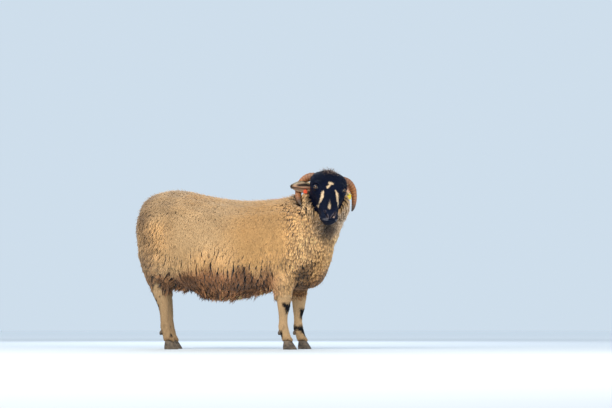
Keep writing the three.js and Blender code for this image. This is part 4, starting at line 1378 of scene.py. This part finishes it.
def short_tufts(name, weight, spacing, lie_way, long, wide, lift, seed, axis_height):
    """Flat-lying tufts over part of the skin; lift is how far a tip stands off it."""
    draws = np.random.default_rng(seed)
    roots, outward = scatter(skin_mesh, weight, spacing, draws)
    count = len(roots)
    way = unit(along_skin(lie_way + 0.3 * draws.normal(size=(count, 3)), outward))
    reach = long * MM * draws.uniform(0.7, 1.25, count)
    rise = np.array([-0.4, 0.45, 0.75, 1.0]) * lift * MM * draws.uniform(0.5, 1.0, (count, 1))
    paths = roots[:, None] + way[:, None] * (TUFT_SHARE * reach[:, None])[:, :, None]
    paths = paths + outward[:, None] * rise[:, :, None]
    for k in (2, 3):  # the tips follow the curve of the form instead of running off it
        found = [skin_tree.find_nearest(p) for p in paths[:, k]]
        paths[:, k] = np.array([f[0] + f[1] * r for f, r in zip(found, rise[:, k])])
    half = wide * MM * TUFT_HALF * draws.uniform(0.7, 1.2, (count, 1))
    sides, ups = [np.repeat(v[:, None], 3, 1) for v in (np.cross(outward, way), outward)]
    colour = hide_colours(roots)[:, None] * np.array([0.8, 1.0, 1.08, 1.15])[:, None]
    colour = np.clip(colour * draws.uniform(0.85, 1.2, (count, 1, 1)), 0, 1)
    piece = locks(name, paths, sides, ups, half, half * 0.4, colour, unwrapped(roots, axis_height), hair_finish)
    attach(piece, "root")


def of_face(points):
    face = to_face(points)
    side_face = mirrored(face)
    hair = ease(7, 3, near(head_tree, points)) * ease(17, 22, reach_of(side_face, EYE))
    hair *= ease(7, 11, along_line(side_face, NOSTRIL)[0]) * ease(3, 6, along_line(side_face, LIPS)[0])
    return hair * (1 - 0.6 * ease(205, 235, face[:, 0]))


HAIR_FROM = 38  # the leg hair starts above the claws and ends under the wool
HAIR_TO = {"fore": 245, "hind": 305}


def of_legs(points):
    z = in_body(points)[:, 2]
    fore, hind = [(near(leg_trees[end], points) < 6) * (z < HAIR_TO[end]) for end in ("fore", "hind")]
    return (z > HAIR_FROM) * (fore + hind)


LEG_AXIS = 130
nose_up, leg_down = TURN @ np.array([-1.0, 0, -0.15]), np.array([0.1, 0, -1.0])
short_tufts("hair_face", of_face, 3.1, nose_up, 8.0, 0.5, 1.3, 91, BODY_AXIS)
short_tufts("hair_legs", of_legs, 4.5, leg_down, 10.0, 0.6, 1.8, 92, LEG_AXIS)

# The ears: short tufts that lie towards the tip, and stand out a little from the rim and inside the cup.
EAR_TUFTS = 1500
for side in EARS:
    draws = np.random.default_rng(94)
    root_share, turn = draws.uniform(0.02, 0.96, EAR_TUFTS), draws.uniform(-1, 1, EAR_TUFTS)
    at_rim = turn[: EAR_TUFTS // 2]
    at_rim[:] = np.sign(at_rim) * (1 - 0.08 * np.abs(at_rim))
    sunk_share = root_share * (1 + EAR_SUNK) - EAR_SUNK
    at = ear_place(side, sunk_share, turn)
    on = unit(ear_place(side, root_share * (1 + EAR_SUNK), turn) - at)
    over = unit(ear_place(side, sunk_share, turn - 0.02 * np.sign(turn)) - at)
    out = np.cross(on, over) * np.sign(turn)[:, None]
    hollow = draws.random(EAR_TUFTS) < 0.4
    out *= np.where(hollow, 1, -1)[:, None] * np.sign((out @ ear_frame(side)[2]).mean())
    way = on - over * (0.7 * (np.abs(turn) > 0.9))[:, None] + out * 0.3
    way = unit(way + 0.25 * draws.normal(size=(EAR_TUFTS, 3)))
    reach = draws.uniform(5, 9, EAR_TUFTS) * (0.6 + 0.4 * hollow)
    paths = at[:, None] + out[:, None] * 0.9 + way[:, None] * (TUFT_SHARE * reach[:, None])[:, :, None]
    half = 0.5 * MM * TUFT_HALF * draws.uniform(0.7, 1.2, (EAR_TUFTS, 1))
    across = unit(np.cross(out, way))
    colour = ear_colours(side, root_share, turn, hollow) * draws.uniform(0.9, 1.25, (EAR_TUFTS, 1))
    colour = np.repeat(np.clip(colour, 0, 1)[:, None], 4, 1)
    tuft_sides, tuft_ups = [np.repeat((v @ TURN.T)[:, None], 3, 1) for v in (across, out)]
    uv = 0.02 + 0.96 * np.stack([root_share, (turn + 1) / 2], 1)
    name = f"hair_ear_{side}"
    tufts = locks(name, from_face(paths), tuft_sides, tuft_ups, half, half * 0.5, colour, uv, hair_finish)
    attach(tufts, "root")

# The poll: a sparse tuft of longer wisps, black at the root and faded at the tip.
draws = np.random.default_rng(93)


def of_poll(points):
    along, aside, up = to_face(points).T
    return ease(-32, -14, along) * ease(34, 4, along) * ease(50, 8, np.abs(aside - 2)) * ease(0, 8, up)


roots, outward = scatter(skin_mesh, of_poll, 3.8, draws)
count = len(roots)
fallen = (draws.random(count) < 0.4)[:, None]
up = np.where(fallen, TURN @ np.array([0.8, 0.1, 0.45]), [0.0, 0.0, 1.0])
up = unit(up + 0.25 * outward + 0.3 * draws.normal(size=(count, 3)))
fall = draws.normal(size=(count, 3)) * [1, 1, 0.3] + TURN @ np.array([0.5, 0, 0])
long = (8 + 17 * draws.random(count)[:, None] ** 1.5) * MM
share = np.linspace(0, 1, 6)
paths = roots[:, None] - outward[:, None] * MM + up[:, None] * (share * long)[:, :, None]
paths += fall[:, None] * (0.28 * share**2 * long)[:, :, None]
aside = unit(np.cross(up, fall))
half = draws.uniform(0.35, 0.75, (count, 1)) * MM * np.array([1, 1, 0.9, 0.7, 0.45, 0])
faded = layered(tone("#2a2226"), ("#e6cdbf", draws.random(count) ** 1.4))
fade = ease(0, 0.6, share)[:, None]
colour = BLACK * (1 - fade) + faded[:, None] * fade
wisp_sides, wisp_ups = [np.repeat(v[:, None], 5, 1) for v in (aside, np.cross(up, aside))]
poll = locks("hair_poll", paths, wisp_sides, wisp_ups, half, half * 0.8, colour, unwrapped(roots), hair_finish)
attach(poll, "root")
